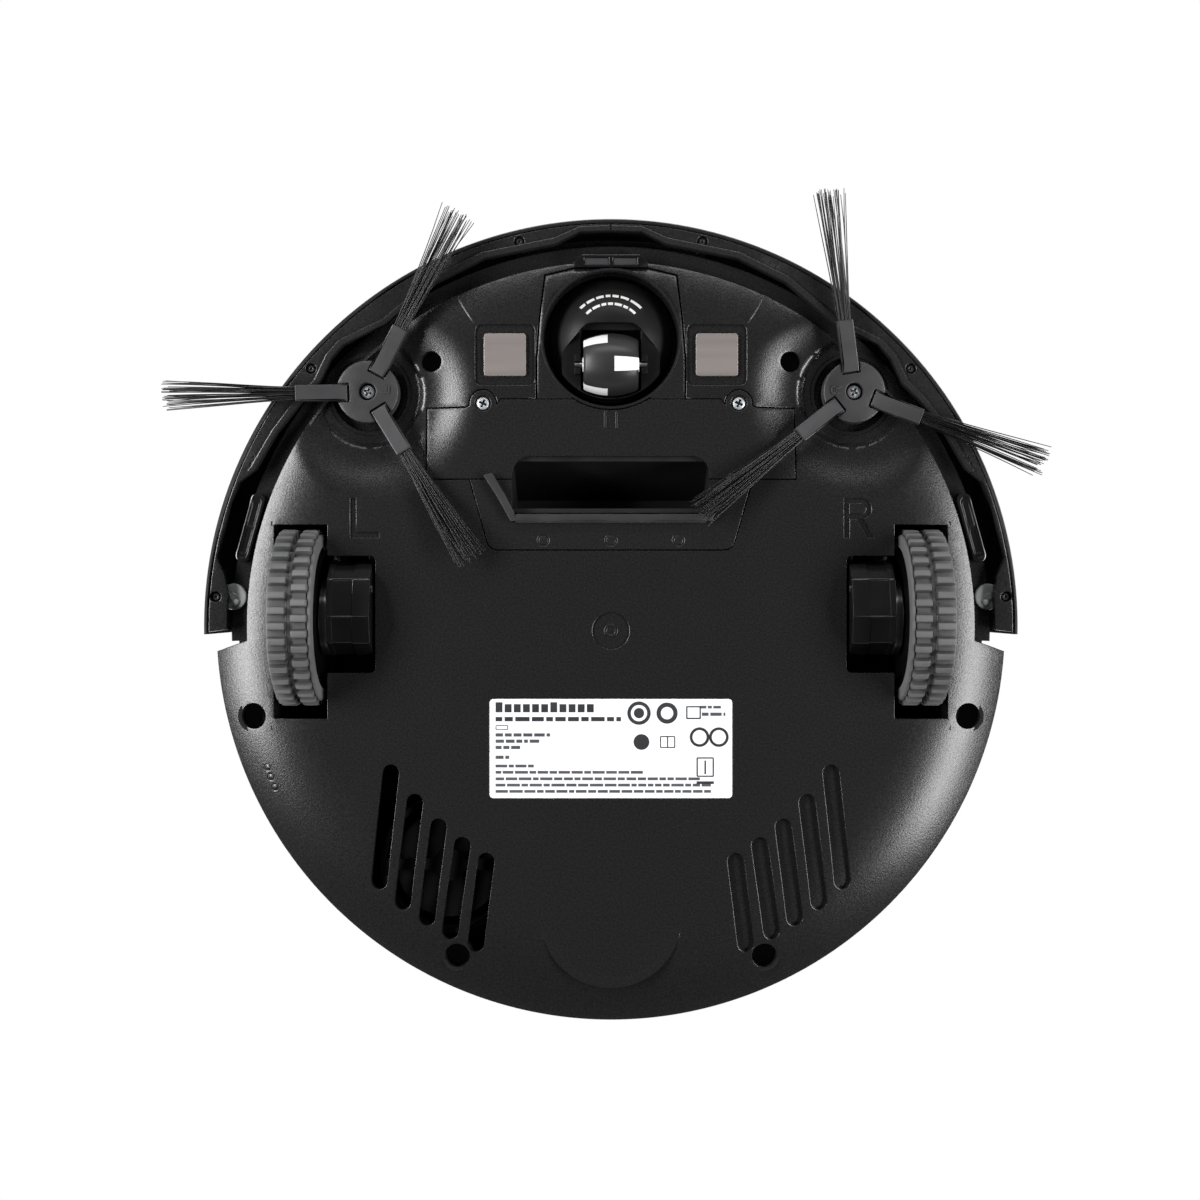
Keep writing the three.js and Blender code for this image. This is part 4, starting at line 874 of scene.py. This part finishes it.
# ---------------------------------------------------------------- wheels
def tyre_shell(sign):
    """One closed surface: two rows of ribs, half a pitch apart, with a groove between and a rim band inside."""
    r, per_rib = TYRE["r"], 20
    n = TYRE["ribs"] * per_rib

    def ribbed(phase, depth=2.5, flat=0.42):
        """Radii around the tyre: each rib's flat top, its flank and the valley beside it."""
        across = 2 * np.abs((np.arange(n) / per_rib + phase) % 1.0 - 0.5)
        return r - depth * np.interp(across, (0, flat - 0.1, flat, flat + 0.09, 1), (0, 0.02, 0.1, 0.93, 1))

    outer, inner = ribbed(0.0), ribbed(0.5)
    base = np.full(n, r - 2.7)
    bore = np.full(n, 26.2)
    rows = [(8.1, bore), (8.1, base - 0.9), (7.7, base - 0.2), (7.45, outer * 0.5 + base * 0.5 - 0.1),
            (7.0, outer - 0.25), (6.5, outer), (1.6, outer), (1.1, outer - 0.3),
            (0.75, base * 0.75 + outer * 0.25), (0.6, base - 0.1), (-0.6, base - 0.1),
            (-0.75, base * 0.75 + inner * 0.25), (-1.1, inner - 0.3),
            (-1.6, inner), (-6.2, inner), (-6.6, inner - 0.35), (-6.75, base + 0.7), (-7.1, base + 0.9),
            (-7.8, base + 0.6), (-8.1, base - 0.1), (-8.1, bore)]
    around, rings = circle(1.0, n=n), []
    for x, radii in rows:
        ring = around * radii[:, None] + (TYRE["y"], TYRE["z"])
        rings.append(np.column_stack([np.full(n, sign * (TYRE["x"] + x)), ring]))
    return loft(rings, closed=True)


def drive_wheel(side, sign):
    piece(f"ribbed_tyre_{side}", [tyre_shell(sign)], "tyre", f"wheel_{side}", f"tyre_{side}", 40)
    hub = [(0, -7.4), (4.0, -7.4), (8.0, -7.2), (22.0, -7.0), (24.6, -7.4), (26.1, -7.2), (26.1, 7.2), (24.6, 7.4),
           (23.0, 7.2), (22.0, 3.6), (8.0, 3.6), (7.2, 7.0), (0, 7.0)]
    spoke = block(7.5, 22.4, -1.1, 1.1, 3.4, 6.4, 0.3)
    shells = [revolve(hub, 72)] + [moved(spoke, (0, 0, 60 * i)) for i in range(6)]
    shells = [on_side(along_x(s, TYRE["x"], TYRE["y"], TYRE["z"]), sign) for s in shells]
    piece(f"wheel_rim_{side}", shells, "gloss", f"wheel_{side}", f"wheel_hub_{side}")
    piece(f"gearbox_{side}", [on_side(s, sign) for s in gearbox()], "case", f"drive_{side}",
          f"drive_housing_{side}")


def gearbox():
    """A faceted case between two flanges, with the arm, the motor barrel, two ridges and two screw heads."""
    y, z = TYRE["y"], TYRE["z"]
    case = np.array([(-24.4, 8.0), (-22.6, 1.4), (-17.0, -5.4), (-3.4, -8.95), (6.2, -5.8), (10.9, 3.0),
                     (10.0, 11.0), (-6.0, 18.6), (-18.0, 15.0)])
    head = [(0, -1.1), (1.1, -1.1), (1.5, -0.8), (1.5, 0), (0, 0)]
    return [
        hull_x([(-40.5, 24.0, 8.0), (-20.0, 17.0, 10.0)], 88.6, 103.0),
        slab_x(rounded(case, 0.9, 3), 87.6, 94.2, 0.5),
        slab_x(rounded(case * 0.975 + (-0.1, 0.1), 0.9, 3), 94.0, 101.4, 0.3),
        slab_x(rounded(case, 0.9, 3), 101.2, 103.6, 0.4),
        hull_x([(y, z, 13.9)], 103.2, 106.0, 0.4),
        hull_x([(y, z, 2.9)], 105.0, 109.0, 0.2),
        hull_x([(-27.0, 18.5, 11.5)], 60.2, 90.0, 1.0),
        hull_x([(-17.0, -4.9, 0.45)], 88.2, 103.2, 0.2),
        hull_x([(-3.4, -8.5, 0.45)], 88.2, 103.2, 0.2),
        *[along_x(revolve(head, 20), 88.0, *place) for place in ((-13.5, -3.6), (8.2, 12.0))],
    ]


# ---------------------------------------------------------------- front caster
def clip_to_circle(loop, x, y, r):
    """A loop with a point at every millimetre, those beyond a circle drawn back onto it."""
    away = dense(loop, 1.0, round) - (x, y)
    return away * np.minimum(1.0, r / np.linalg.norm(away, axis=1))[:, None] + (x, y)


def caster():
    y, dome_r, top = CASTER["y"], CASTER["dome"], 15.6
    face_r = dome_r - 0.2
    roller_y = y + CASTER["trail"]
    pocket = rounded([(-18.2, 15.0), (-18.2, 4.6), (-9.0, -5.6), (9.0, -5.6), (18.2, 4.6), (18.2, 15.0),
                      (11.5, 22.0), (-11.5, 22.0)], (5, 6, 5, 5, 6, 5, 4, 4), 5) + (0, y)
    hole = rectangle(-11.0, 11.0, -3.4, 21.5, 0.8, 3) + (0, y)

    def dome_height(px, py):
        return -2.4 + 11.0 * (np.hypot(px, py - y) / dome_r) ** 2.6

    face = sheet(circle(face_r, 0, y, 96), dome_height, [clip_to_circle(hole, 0, y, face_r - 1.4)],
                 [(clip_to_circle(pocket, 0, y, face_r - 0.8), level(2.0))],
                 thick=2.0, spacing=1.2, edge=0.4, lip=0.35)
    cup = [(dome_r - 1.8, 9.4), (dome_r - 0.25, 9.4), (dome_r, 10.4), (dome_r, top - 0.4), (dome_r - 0.4, top),
           (0, top), (0, top - 1.2), (dome_r - 1.8, top - 1.2)]
    shells = [face, revolve(cup, 96, 0, y)]
    for sign in SIDES.values():  # two prongs and the block behind them hold each end of the axle
        for x1, y0, y1, z0, z1 in ((13.4, -3.6, -1.15, 0.4, 5.4), (13.4, 1.15, 3.6, 0.4, 5.4),
                                   (15.0, -3.6, 3.6, 3.4, 6.0)):
            shells.append(on_side(block(11.2, x1, roller_y + y0, roller_y + y1, z0, z1, 0.3), sign))
    piece("caster_dome", shells, "dome", "caster_fork", "caster_fork")
    caster_note(dome_height)
    caster_roller(roller_y)


def flat_mark(loop, z=INK_LOW, thick=INK_TOP - INK_LOW):
    """A printed mark. With a height for each point, the loop has to run counter-clockwise."""
    loop = ccw(loop)
    return loft([raised(loop, z), raised(loop, z + thick)])


def caster_note(height):
    """Two curved rows of plain bars, in place of the printed note."""
    marks = []
    for radius, spans in ((15.9, (-46, -35, -21, -8, 1, 12, 26, 46)),
                          (12.7, (-46, -33, -17, -6, 5, 20, 31, 46))):
        for a0, a1 in zip(spans, spans[1:]):
            turns = np.linspace(a0 + 1.2, a1 - 1.6, 5)
            loop = ccw([polar(a, radius - 0.5) for a in turns] + [polar(a, radius + 0.5) for a in turns[::-1]])
            loop = loop + (0, CASTER["y"])
            marks.append(flat_mark(loop, height(*loop.T) - 0.05, 0.15))
    piece("caster_marks", marks, "white_ink", "caster_fork")


def caster_roller(roller_y):
    half, r, end = CASTER["width"] / 2, CASTER["r"], CASTER["end"]

    def barrel(x):
        return r - (r - end) * (x / half) ** 2

    def strip(x0, x1, angle):
        """A white block let flush into the tread."""
        turns = math.radians(angle) + np.linspace(-1, 1, 6) * math.radians(13.5)
        return loft([[(x, -radius * math.sin(t), radius * math.cos(t))
                      for radius, ts in ((barrel(x) + 0.06, turns), (barrel(x) - 1.2, turns[::-1])) for t in ts]
                     for x in np.linspace(x0 + 0.05 * np.sign(x0), x1 - 0.02, 10)])

    belly = [(barrel(x), x) for x in np.linspace(-half, half, 33)[1:-1]]
    tread = [(0.0, -half + 0.2), (end - 0.5, -half), *belly, (end - 0.5, half), (0.0, half - 0.2)]
    core = [(0, -half - 0.4), (2.5, -half - 0.4), (2.8, -half - 0.1), (2.8, half + 0.1), (2.5, half + 0.4),
            (0, half + 0.4)]
    place = (0, roller_y, CASTER["z"])
    piece("caster_roller", [along_x(revolve(tread, 72), *place)], "tread", "caster_wheel", "caster_tread")
    rows = ((-half, -1.2, (10, 130, 250)), (1.2, half, (65, 185, 305)))
    strips = [moved(strip(x0, x1, angle), by=place) for x0, x1, angles in rows for angle in angles]
    piece("roller_core", [along_x(revolve(core, 32), *place)] + strips, "white", "caster_wheel", "caster_core")


# ---------------------------------------------------------------- bumper
def lip(side, sign):
    outer = [polar(a, LIP_R) for a in np.arange(90.9, 0, -1.5)] + [polar(LIP_EDGE[0][0], LIP_R)]
    inner = [polar(a, r) for a, r in LIP_EDGE]
    loop = rounded(inner + outer, [0.0] + [1.6] * (len(inner) - 2) + [0.2] + [0.0] * len(outer), 3)
    pits = [(a, 146.0 if a > 80 else LIP_SCREW_R, r, n, rise) for a in LIP_SCREWS
            for r, n, rise in ((2.0, 24, 1.7), (1.35, 20, -0.8), (0.55, 12, 0.6))]
    pits += [(a + d, LIP_SCREW_R, 0.42, 12, 0.4) for a in (24.2, 65.2) for d in (-0.5, 0.5)]
    steps = [(sided(circle(r, *polar(a, out), n), sign), rise) for a, out, r, n, rise in pits]
    shells = [sheet(sided(loop, sign), level(LIP_Z), [], steps, thick=2.6, spacing=2.2, edge=0.35)]
    front = [(a, r) for a, r in LIP_EDGE if a < LIP_END]
    path = [polar(a, r) for a, r in front] + [polar(LIP_END, 143.6)]
    far = [polar(a, r + (2.6 if 8 < a < 60 else 2.2)) for a, r in front] + [polar(LIP_END, 145.9)]
    band = rounded(path + far[::-1], [0.0] + [1.4] * (2 * len(path) - 2) + [0.0], 3)
    shells.append(slab(sided(band, sign), 1.3, 3.0, 0.8))
    piece(f"bumper_trim_{side}", shells, "lip", "bumper", f"bumper_lip_{side}")


def bumper():
    r, wall, end = BUMPER_R, 1.5, 91.2
    window, low, high = 13.0, 28.0, 44.0
    foot = [(r - wall, 2.3), (r - 1.1, 2.0), (r - 0.5, 2.1), (r - 0.12, 2.6), (r, 3.6)]
    brow = [(r, 50.0), (r - 0.15, 54.0), (r - 0.6, 56.8), (r - 1.6, 58.4), (r - 3.0, 59.0), (r - 4.5, 59.0),
            (r - 4.5, 57.6), (r - 2.8, 57.5), (r - 1.8, 56.4), (r - wall, 54.0)]
    hook = [(146.0, 5.9), (149.0, 5.9), (149.0, 8.7), (146.0, 8.7)]
    shells = [swept(foot + brow, -end, -window, 1.5), swept(foot + brow, window, end, 1.5),
              swept(foot + [(r, low), (r - wall, low)], -window, window, 1.5),
              swept([(r - wall, high), (r, high)] + brow, -window, window, 1.5)]
    shells += [on_side(swept(hook, 84.2, 91.0), sign) for sign in SIDES.values()]
    piece("bumper_skin", shells, "bumper", "bumper", "bumper_shell")
    pane = [(r - wall, low + 0.3), (r - 0.25, low + 0.3), (r - 0.05, low + 0.6), (r - 0.05, high - 0.6),
            (r - 0.25, high - 0.3), (r - wall, high - 0.3)]
    back = [(147.0, 26.6), (148.3, 26.6), (148.3, 45.4), (147.0, 45.4)]
    glass = [swept(pane, -12.8, 12.8, 1.0), swept(back, -14.4, 14.4, 1.5)]
    piece("bumper_glass", glass, "window", "bumper", "bumper_window")


# ---------------------------------------------------------------- small pieces on the underside
def contacts():
    for side, sign in SIDES.items():
        loop = centred(sign * CONTACT["x"], CONTACT["y"], CONTACT["w"], CONTACT["h"], 1.3)
        piece(f"contact_pad_{side}", [slab(loop, -0.3, 0.85, 0.3)], "nickel", "chassis",
              f"charge_contact_{side}")


def bar(x0, x1, y0, y1):
    return flat_mark([(x0, y0), (x1, y0), (x1, y1), (x0, y1)])


def frame_mark(outer, inner):
    return loft([raised(loop, z) for loop, z in ((outer, INK_LOW), (outer, INK_TOP), (inner, INK_TOP),
                                                 (inner, INK_LOW))], closed=True)


def ring_mark(x, y, r, w):
    return frame_mark(circle(r, x, y, 28), circle(r - w, x, y, 28))


def box_mark(x0, x1, y0, y1, w):
    outer = rectangle(x0, x1, y0, y1, 0.4, 2)
    return frame_mark(outer, offset(outer, -w))


def words(rng, x0, x1, y, height, longest):
    """A line of plain bars, as long and short words would be."""
    found, x = [], x0
    while x < x1 - 0.6:
        end = min(x1, x + rng.uniform(0.35, 1.0) * longest)
        found.append(bar(x, end, y - height / 2, y + height / 2))
        x = end + height * 0.55
    return found


def rating_label():
    """The film and its plain marks; their y is measured from the label's top edge."""
    film = centred(0, LABEL["y"], LABEL["w"], LABEL["h"], 1.6)
    piece("label_film", [slab(film, -0.02, 0.1, 0.05)], "label", "chassis", "rating_label")
    rng = np.random.default_rng(3)
    left, top = -LABEL["w"] / 2 + 2.2, LABEL["y"] - LABEL["h"] / 2
    ink, fine = [], []
    for i in range(11):
        x = left + 3.35 * i
        ink.append(bar(x, x + 2.5, top + (1.2 if i in (0, 6) else 1.9), top + 4.9))
    ink += words(rng, left, left + 46, top + 7.4, 1.6, 6)
    for height, longest, rows in ((1.2, 4, ((13.2, 20), (15.5, 16), (17.8, 9), (21.4, 5))),
                                  (1.05, 5, ((24.6, 14), (26.9, 55), (29.3, 76), (31.6, 80), (33.9, 79)))):
        for y, span in rows:
            fine += words(rng, left, left + span, top + y, height, longest)
    fine += words(rng, 32.6, 40.8, top + 3.0, 1.0, 4) + words(rng, 33.4, 42.0, top + 5.6, 1.2, 5)
    for x, y, r, w in ((10.3, 5.2, 4.3, 1.3), (20.6, 5.2, 3.9, 1.6), (32.5, 14.0, 3.6, 1.0),
                       (39.6, 14.0, 3.6, 1.0)):
        ink.append(ring_mark(x, top + y, r, w))
    ink += [flat_mark(circle(1.9, 10.3, top + 5.2, 24)), flat_mark(circle(2.9, 11.2, top + 15.8, 28))]
    for x0, x1, y0, y1, w in ((left, left + 4.6, 9.6, 11.4, 0.3), (18.0, 23.6, 13.6, 18.0, 0.4),
                              (27.6, 33.0, 2.6, 7.4, 0.5), (31.4, 37.8, 21.4, 28.6, 0.5)):
        ink.append(box_mark(x0, x1, top + y0, top + y1, w))
    for x0, x1, y0, y1 in ((20.6, 21.0, 13.8, 17.8), (31.4, 37.8, 30.2, 31.2), (34.3, 34.9, 22.6, 27.6)):
        ink.append(bar(x0, x1, top + y0, top + y1))
    piece("label_print", ink, "ink", "chassis")
    piece("label_small_print", fine, "grey_ink", "chassis")


def cliff_sensors():
    housing = rounded([(-13.7, -132.0), (-13.7, -134.0), (-10.6, -136.6), (10.6, -136.6), (13.7, -134.0),
                       (13.7, -132.0)], (0.8, 1, 1, 1, 1, 0.8), 3)
    windows = [(rectangle(x0, x1, -135.5, -132.9, 0.3, 2), 0.7) for x0, x1 in ((0.7, 9.8), (-9.8, -0.7))]
    body = sheet(housing, level(1.4), [], windows, thick=5.0, spacing=1.2, edge=0.4)
    piece("front_drop_sensor", [body], "sensor", "chassis", "cliff_sensor_front")
    lenses = [block(x0, x1, -135.3, -133.1, 1.9, 2.3, 0.1) for x0, x1 in ((0.9, 9.6), (-9.6, -0.9))]
    piece("front_drop_lens", lenses, "lens", "chassis")
    centre = polar(SIDE_SENSOR["angle"], SIDE_SENSOR["r"])
    outline = slot_loop((0, -10.6), (0, 10.6), 5.1, 9)
    recesses = ((slot_loop((0.2, -9.8), (0.2, 9.8), 3.6, 7), 0.4),
                (rectangle(-0.9, 1.3, -9.6, -0.6, 0.3, 2), 0.5), (rectangle(-0.9, 1.3, 0.6, 9.6, 0.3, 2), 0.5))
    for side, sign in SIDES.items():
        body, *loops = [sided(turned(loop, SIDE_SENSOR["tilt"], centre), sign)
                        for loop in (outline, *[loop for loop, _ in recesses])]
        steps = [(loop, rise) for loop, (_, rise) in zip(loops, recesses)]
        body = sheet(body, level(3.3), [], steps, thick=3.4, spacing=1.1, edge=0.45)
        piece(f"side_drop_sensor_{side}", [body], "sensor", "chassis", f"cliff_sensor_{side}")


def bumper_guides():
    disc = [(0, 5.7), (1.2, 5.7), (1.5, 6.4), (4.0, 6.2), (4.7, 6.5), (4.9, 7.0), (4.9, 7.7), (0, 7.7)]
    bead = [(0, 5.0), (0.7, 5.1), (1.2, 5.5), (1.35, 6.1), (1.2, 6.6), (0, 6.6)]
    shells = [revolve(disc, 40, 139.9, -10.7), revolve(bead, 24, 139.0, -8.6)]
    for side, sign in SIDES.items():
        piece(f"guide_disc_{side}", [on_side(s, sign) for s in shells], "nylon", "chassis",
              f"bumper_guide_{side}")


def inlet_seal():
    """A blade with a soft uneven edge, and a flap at each end."""
    flap = offset(ccw([(34.6, -38.4), (36.9, -38.4), (41.4, -46.6), (46.9, -55.2), (43.4, -56.0), (38.6, -48.0),
                       (35.4, -41.9)]), -0.1)
    y, half, rings = -39.5, 34.9, []
    for x in np.linspace(-half, half, 40):
        wave = 0.22 * math.sin(x * 0.19) + 0.12 * math.sin(x * 0.53 + 1.0)
        section = ((-1.5, 1.9), (-1.5, -1.4), (-1.0 + wave * 0.3, -2.7), (wave, -2.9), (1.0 + wave, -2.6),
                   (1.6, -1.2), (1.6, 1.9))
        rings.append([(x, y + dy, z) for dy, z in section])
    shells = [loft(rings)] + [slab(sided(flap, sign), -2.9, 1.9, 0.5) for sign in SIDES.values()]
    piece("inlet_wiper", shells, "seal", "chassis", "inlet_seal")


# ---------------------------------------------------------------- the top
def facing_up(shell):
    """A sheet is made face down; this turns it face up, at the same height above the origin."""
    return moved(shell, scale=(1, 1, -1))


def lid_outline(gap=0.0):
    x, front, rear, corner = (LID[k] for k in ("x", "front", "rear", "corner"))
    return offset(rounded([(-x, front), (x, front), (x, rear), (-x, rear)], (corner, corner, 1.2, 1.2), 10), gap)


def deck_cover():
    """The deck in one moulding: a flat middle, and beyond a fine groove a shoulder that rolls over."""
    inner_r, groove, top = 128.0, 0.7, DECK_Z
    start = inner_r + groove
    shoulder = [(start, top - 0.5), (start + 0.5, top - 0.05)]
    for t in np.linspace(0.12, 1, 14):
        r = start + (BODY_R - start) * t ** 0.62
        shoulder.append((r, top - 0.05 - 5.2 * ((r - inner_r) / (BODY_R - inner_r)) ** 5))
    shoulder += [(BODY_R, top - 6.4), (BODY_R, top - 7.3), (BODY_R - 0.4, top - 7.7), (BODY_R - WALL, top - 7.7),
                 (BODY_R - WALL, top - 6.0), (BODY_R - 9.0, top - WALL - 0.5), (inner_r - 4.0, top - WALL - 0.5),
                 (inner_r - 4.0, top - 1.6), (start, top - 1.6)]
    finger = rounded([(-15.0, -42.0), (15.0, -42.0), (15.0, -28.0), (-15.0, -28.0)], 6.5, 6)
    x = LID["x"] + LID_GAP
    opening = union([lid_outline(LID_GAP), ccw([(-x, 40.0), (x, 40.0), (x, 61.6), (-x, 61.6)]), finger])
    face = sheet(circle(inner_r, n=180), level(-top), [opening, circle(BUTTON["r"] + 0.4, 0, BUTTON["y"], 56)],
                 [(circle(BUTTON["r"] + 3.2, 0, BUTTON["y"], 64), 0.35)], spacing=6.0, edge=0.5, lip=0.4)
    piece("deck_cover", [revolve(shoulder, 200), facing_up(face)], "deck", "chassis", "top_cover")


def lid_panel():
    """The bin's lid, with a fine border, a hinge barrel along its rear edge, and notches for the two ears."""
    x, front, rear, ear_y, (e0, e1) = (LID[k] for k in ("x", "front", "rear", "ear_y", "ear"))
    right = [(x, rear), (e1, rear), (e1, ear_y), (e0, ear_y), (e0, rear)]
    loop = ccw([tuple(p) for p in lid_outline() if p[1] < 0] + right + [(-px, py) for px, py in right[::-1]])
    border = offset(rounded([(-x, front), (x, front), (x, 50.0), (-x, 50.0)], (12, 12, 4, 4), 8), -4.0)
    steps = [(border, 0.25), (offset(border, -0.8), -0.25)]
    face = sheet(loop, level(-DECK_Z), [], steps, thick=LID["thick"], spacing=7.0, edge=0.5, lip=0.1)
    shells = [facing_up(face)]
    for x0, x1 in ((-x, -e1), (-e0, e0), (e1, x)):
        rod = [(0, x0), (1.2, x0), (1.5, x0 + 0.3), (1.5, x1 - 0.3), (1.2, x1), (0, x1)]
        shells.append(along_x(revolve(rod, 24), 0, rear, DECK_Z - 1.5))
    piece("lid_panel", shells, "deck", "bin_lid", "bin_lid")


def start_key():
    """A dished metallised cap over its flange and stem, marked with a plain open ring and a bar."""
    r, y, top = BUTTON["r"], BUTTON["y"], DECK_Z
    cap = [(0, top - 0.25), (3, top - 0.22), (6, top - 0.08), (8.6, top + 0.2), (9.6, top + 0.52),
           (10.2, top + 0.6), (10.75, top + 0.5), (r, top + 0.15), (r, 66.6), (r + 1.2, 66.6), (r + 1.4, 66.4),
           (r + 1.4, 64.0), (4, 64.0), (4, 62.5), (0, 62.5)]
    piece("start_key", [revolve(cap, 72, 0, y)], "button", "start_button", "start_button")
    ring = [(2.6 * math.sin(t), y - 2.6 * math.cos(t), top - 0.2) for t in np.radians(np.linspace(42, 318, 22))]
    stem = [(0, y - 3.3, top - 0.2), (0, y - 2.0, top - 0.22), (0, y - 0.7, top - 0.24)]
    piece("start_mark", [tube(ring, 0.28, 8), tube(stem, 0.28, 8)], "ink", "start_button")


# ---------------------------------------------------------------- springs
def helix(spring):
    """A compression spring along +Z from the origin, its end turns closed up."""
    turns, length, wire = spring["turns"], spring["length"], spring["wire"]
    points = []
    for t in np.linspace(0, 1, turns * 24 + 1):
        a = 2 * math.pi * turns * t
        rise = np.interp(t * turns, (0, 0.5, turns - 0.5, turns), (0, 0.12, 0.88, 1))
        points.append((spring["r"] * math.cos(a), spring["r"] * math.sin(a), wire + (length - 2 * wire) * rise))
    return tube(points, wire, 8)


def springs(side, sign):
    """Each coil at its full length, on the chassis, with a mesh of its own."""
    push, lift = PUSH_SPRING, SUSPENSION_SPRING
    place = (sign * push["x"], push["y"], push["z"])
    coil = piece(f"push_coil_{side}", [moved(helix(push), (90, 0, 0), place)], "blued", "chassis",
                 f"bumper_spring_{side}", 80)
    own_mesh(coil)
    place = (sign * lift["x"], lift["y"], lift["z"])
    coil = piece(f"suspension_coil_{side}", [moved(helix(lift), by=place)], "steel", "chassis",
                 f"suspension_spring_{side}", 80)
    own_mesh(coil)


# ---------------------------------------------------------------- put together
for build in (base_shell, battery_cover, squeegee_plate, caster_socket, caster, bumper, contacts, rating_label,
              cliff_sensors, bumper_guides, inlet_seal, deck_cover, lid_panel, start_key):
    build()
for side, sign in SIDES.items():
    springs(side, sign)
    side_brush(side, sign)
    drive_wheel(side, sign)
    lip(side, sign)
    cx, cy = COVER["screw"]
    piece(f"door_screw_{side}", [phillips(sign * cx, cy, 0.3, 2.5)], "screw", "chassis", f"cover_screw_{side}")

CARRIED = {
    "upper_housing": "side", "suction_duct": "inner", "dust_bin": "bin", "bin_filter": "fleece",
    "lid_hinge_pin": "steel", "power_switch": "inner", "battery_pack": "wrap", "main_board": "board",
    "fan_housing": "fan", "fan_rotor": "fan", "caster_stem": "steel", "caster_axle": "steel",
    "brush_motor_left": "can", "brush_motor_right": "can",
}
for node, look in CARRIED.items():
    dress(node, look)


# ---------------------------------------------------------------- stage
def area_light(name, place, size, power, size_y=None):
    data = bpy.data.lights.new(name, "AREA")
    data.shape, data.size, data.size_y, data.energy = "RECTANGLE", size, size_y or size, power
    made = add_object(name, data)
    made.location = place
    made.rotation_mode = "QUATERNION"
    made.rotation_quaternion = (-Vector(place)).to_track_quat("-Z", "Y")


def stage():
    """A pale floor that only the camera sees, and only from above, then the room and its lights."""
    floor_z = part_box("tyre_left")[0].z - 0.0004
    mesh = bpy.data.meshes.new("floor")
    s = 3.0
    mesh.from_pydata([(-s, -s, floor_z), (s, -s, floor_z), (s, s, floor_z), (-s, s, floor_z)], [], [(0, 1, 2, 3)])
    floor = add_object("floor", mesh)
    for ray in ("diffuse", "glossy", "transmission", "shadow", "volume_scatter"):
        setattr(floor, f"visible_{ray}", False)
    mat = bpy.data.materials.new("pale_floor")
    mat.use_nodes = True
    tree = mat.node_tree
    shader = tree.nodes["Principled BSDF"]
    shader.inputs["Base Color"].default_value = (0.82, 0.82, 0.82, 1)
    shader.inputs["Roughness"].default_value = 0.6
    mix_shaders(tree, add_node(tree, "NewGeometry").outputs["Backfacing"], shader.outputs["BSDF"],
                add_node(tree, "BsdfTransparent").outputs["BSDF"], tree.nodes["Material Output"])
    mesh.materials.append(mat)
    room()
    area_light("side_left", (-0.90, -0.14, -0.66), 0.9, 17, 0.28)
    area_light("side_right", (0.90, 0.14, -0.66), 0.9, 14, 0.28)
    area_light("front_low", (0.0, -1.0, -0.60), 1.3, 5, 0.2)
    area_light("above", (0.3, -0.5, 1.6), 2.6, 60)
    area_light("above_rear", (-0.8, 1.1, 1.1), 1.6, 24)


def mix_shaders(tree, factor, first, second, output):
    mix = add_node(tree, "MixShader")
    for source, socket in ((factor, "Fac"), (first, 1), (second, 2)):
        tree.links.new(source, mix.inputs[socket])
    tree.links.new(mix.outputs["Shader"], output.inputs["Surface"])


def room():
    """White to the camera; to the object, bright from the horizon up and dark below, so that edges glint."""
    world = bpy.data.worlds.new("studio")
    bpy.context.scene.world = world
    world.use_nodes = True
    tree = world.node_tree
    white, dim = tree.nodes["Background"], add_node(tree, "Background", Color=(1, 1, 1, 1))
    white.inputs["Color"].default_value = (1, 1, 1, 1)
    white.inputs["Strength"].default_value = 1.0
    place, split = add_node(tree, "TexCoord"), add_node(tree, "SeparateXYZ")
    ramp = add_node(tree, "MapRange", From_Min=-0.4, From_Max=0.2, To_Min=0.03, To_Max=0.8)
    ramp.interpolation_type = "SMOOTHSTEP"
    tree.links.new(place.outputs["Generated"], split.inputs["Vector"])
    tree.links.new(split.outputs["Z"], ramp.inputs["Value"])
    tree.links.new(ramp.outputs["Result"], dim.inputs["Strength"])
    mix_shaders(tree, add_node(tree, "LightPath").outputs["Is Camera Ray"], dim.outputs["Background"],
                white.outputs["Background"], tree.nodes["World Output"])
    bpy.context.scene.view_settings.view_transform = "Standard"


def camera():
    data = bpy.data.cameras.new("below")
    made = add_object("below", data)
    data.lens, data.sensor_width = 50.7, 36.0
    data.clip_start = 0.01
    made.location = (-0.0040, -0.0095, -0.620)
    right, up, back = Vector((1, 0, 0)), Vector((0, -1, 0)), Vector((0, 0, -1))
    made.rotation_euler = Matrix((right, up, back)).transposed().to_euler()
    bpy.context.scene.camera = made


stage()
camera()
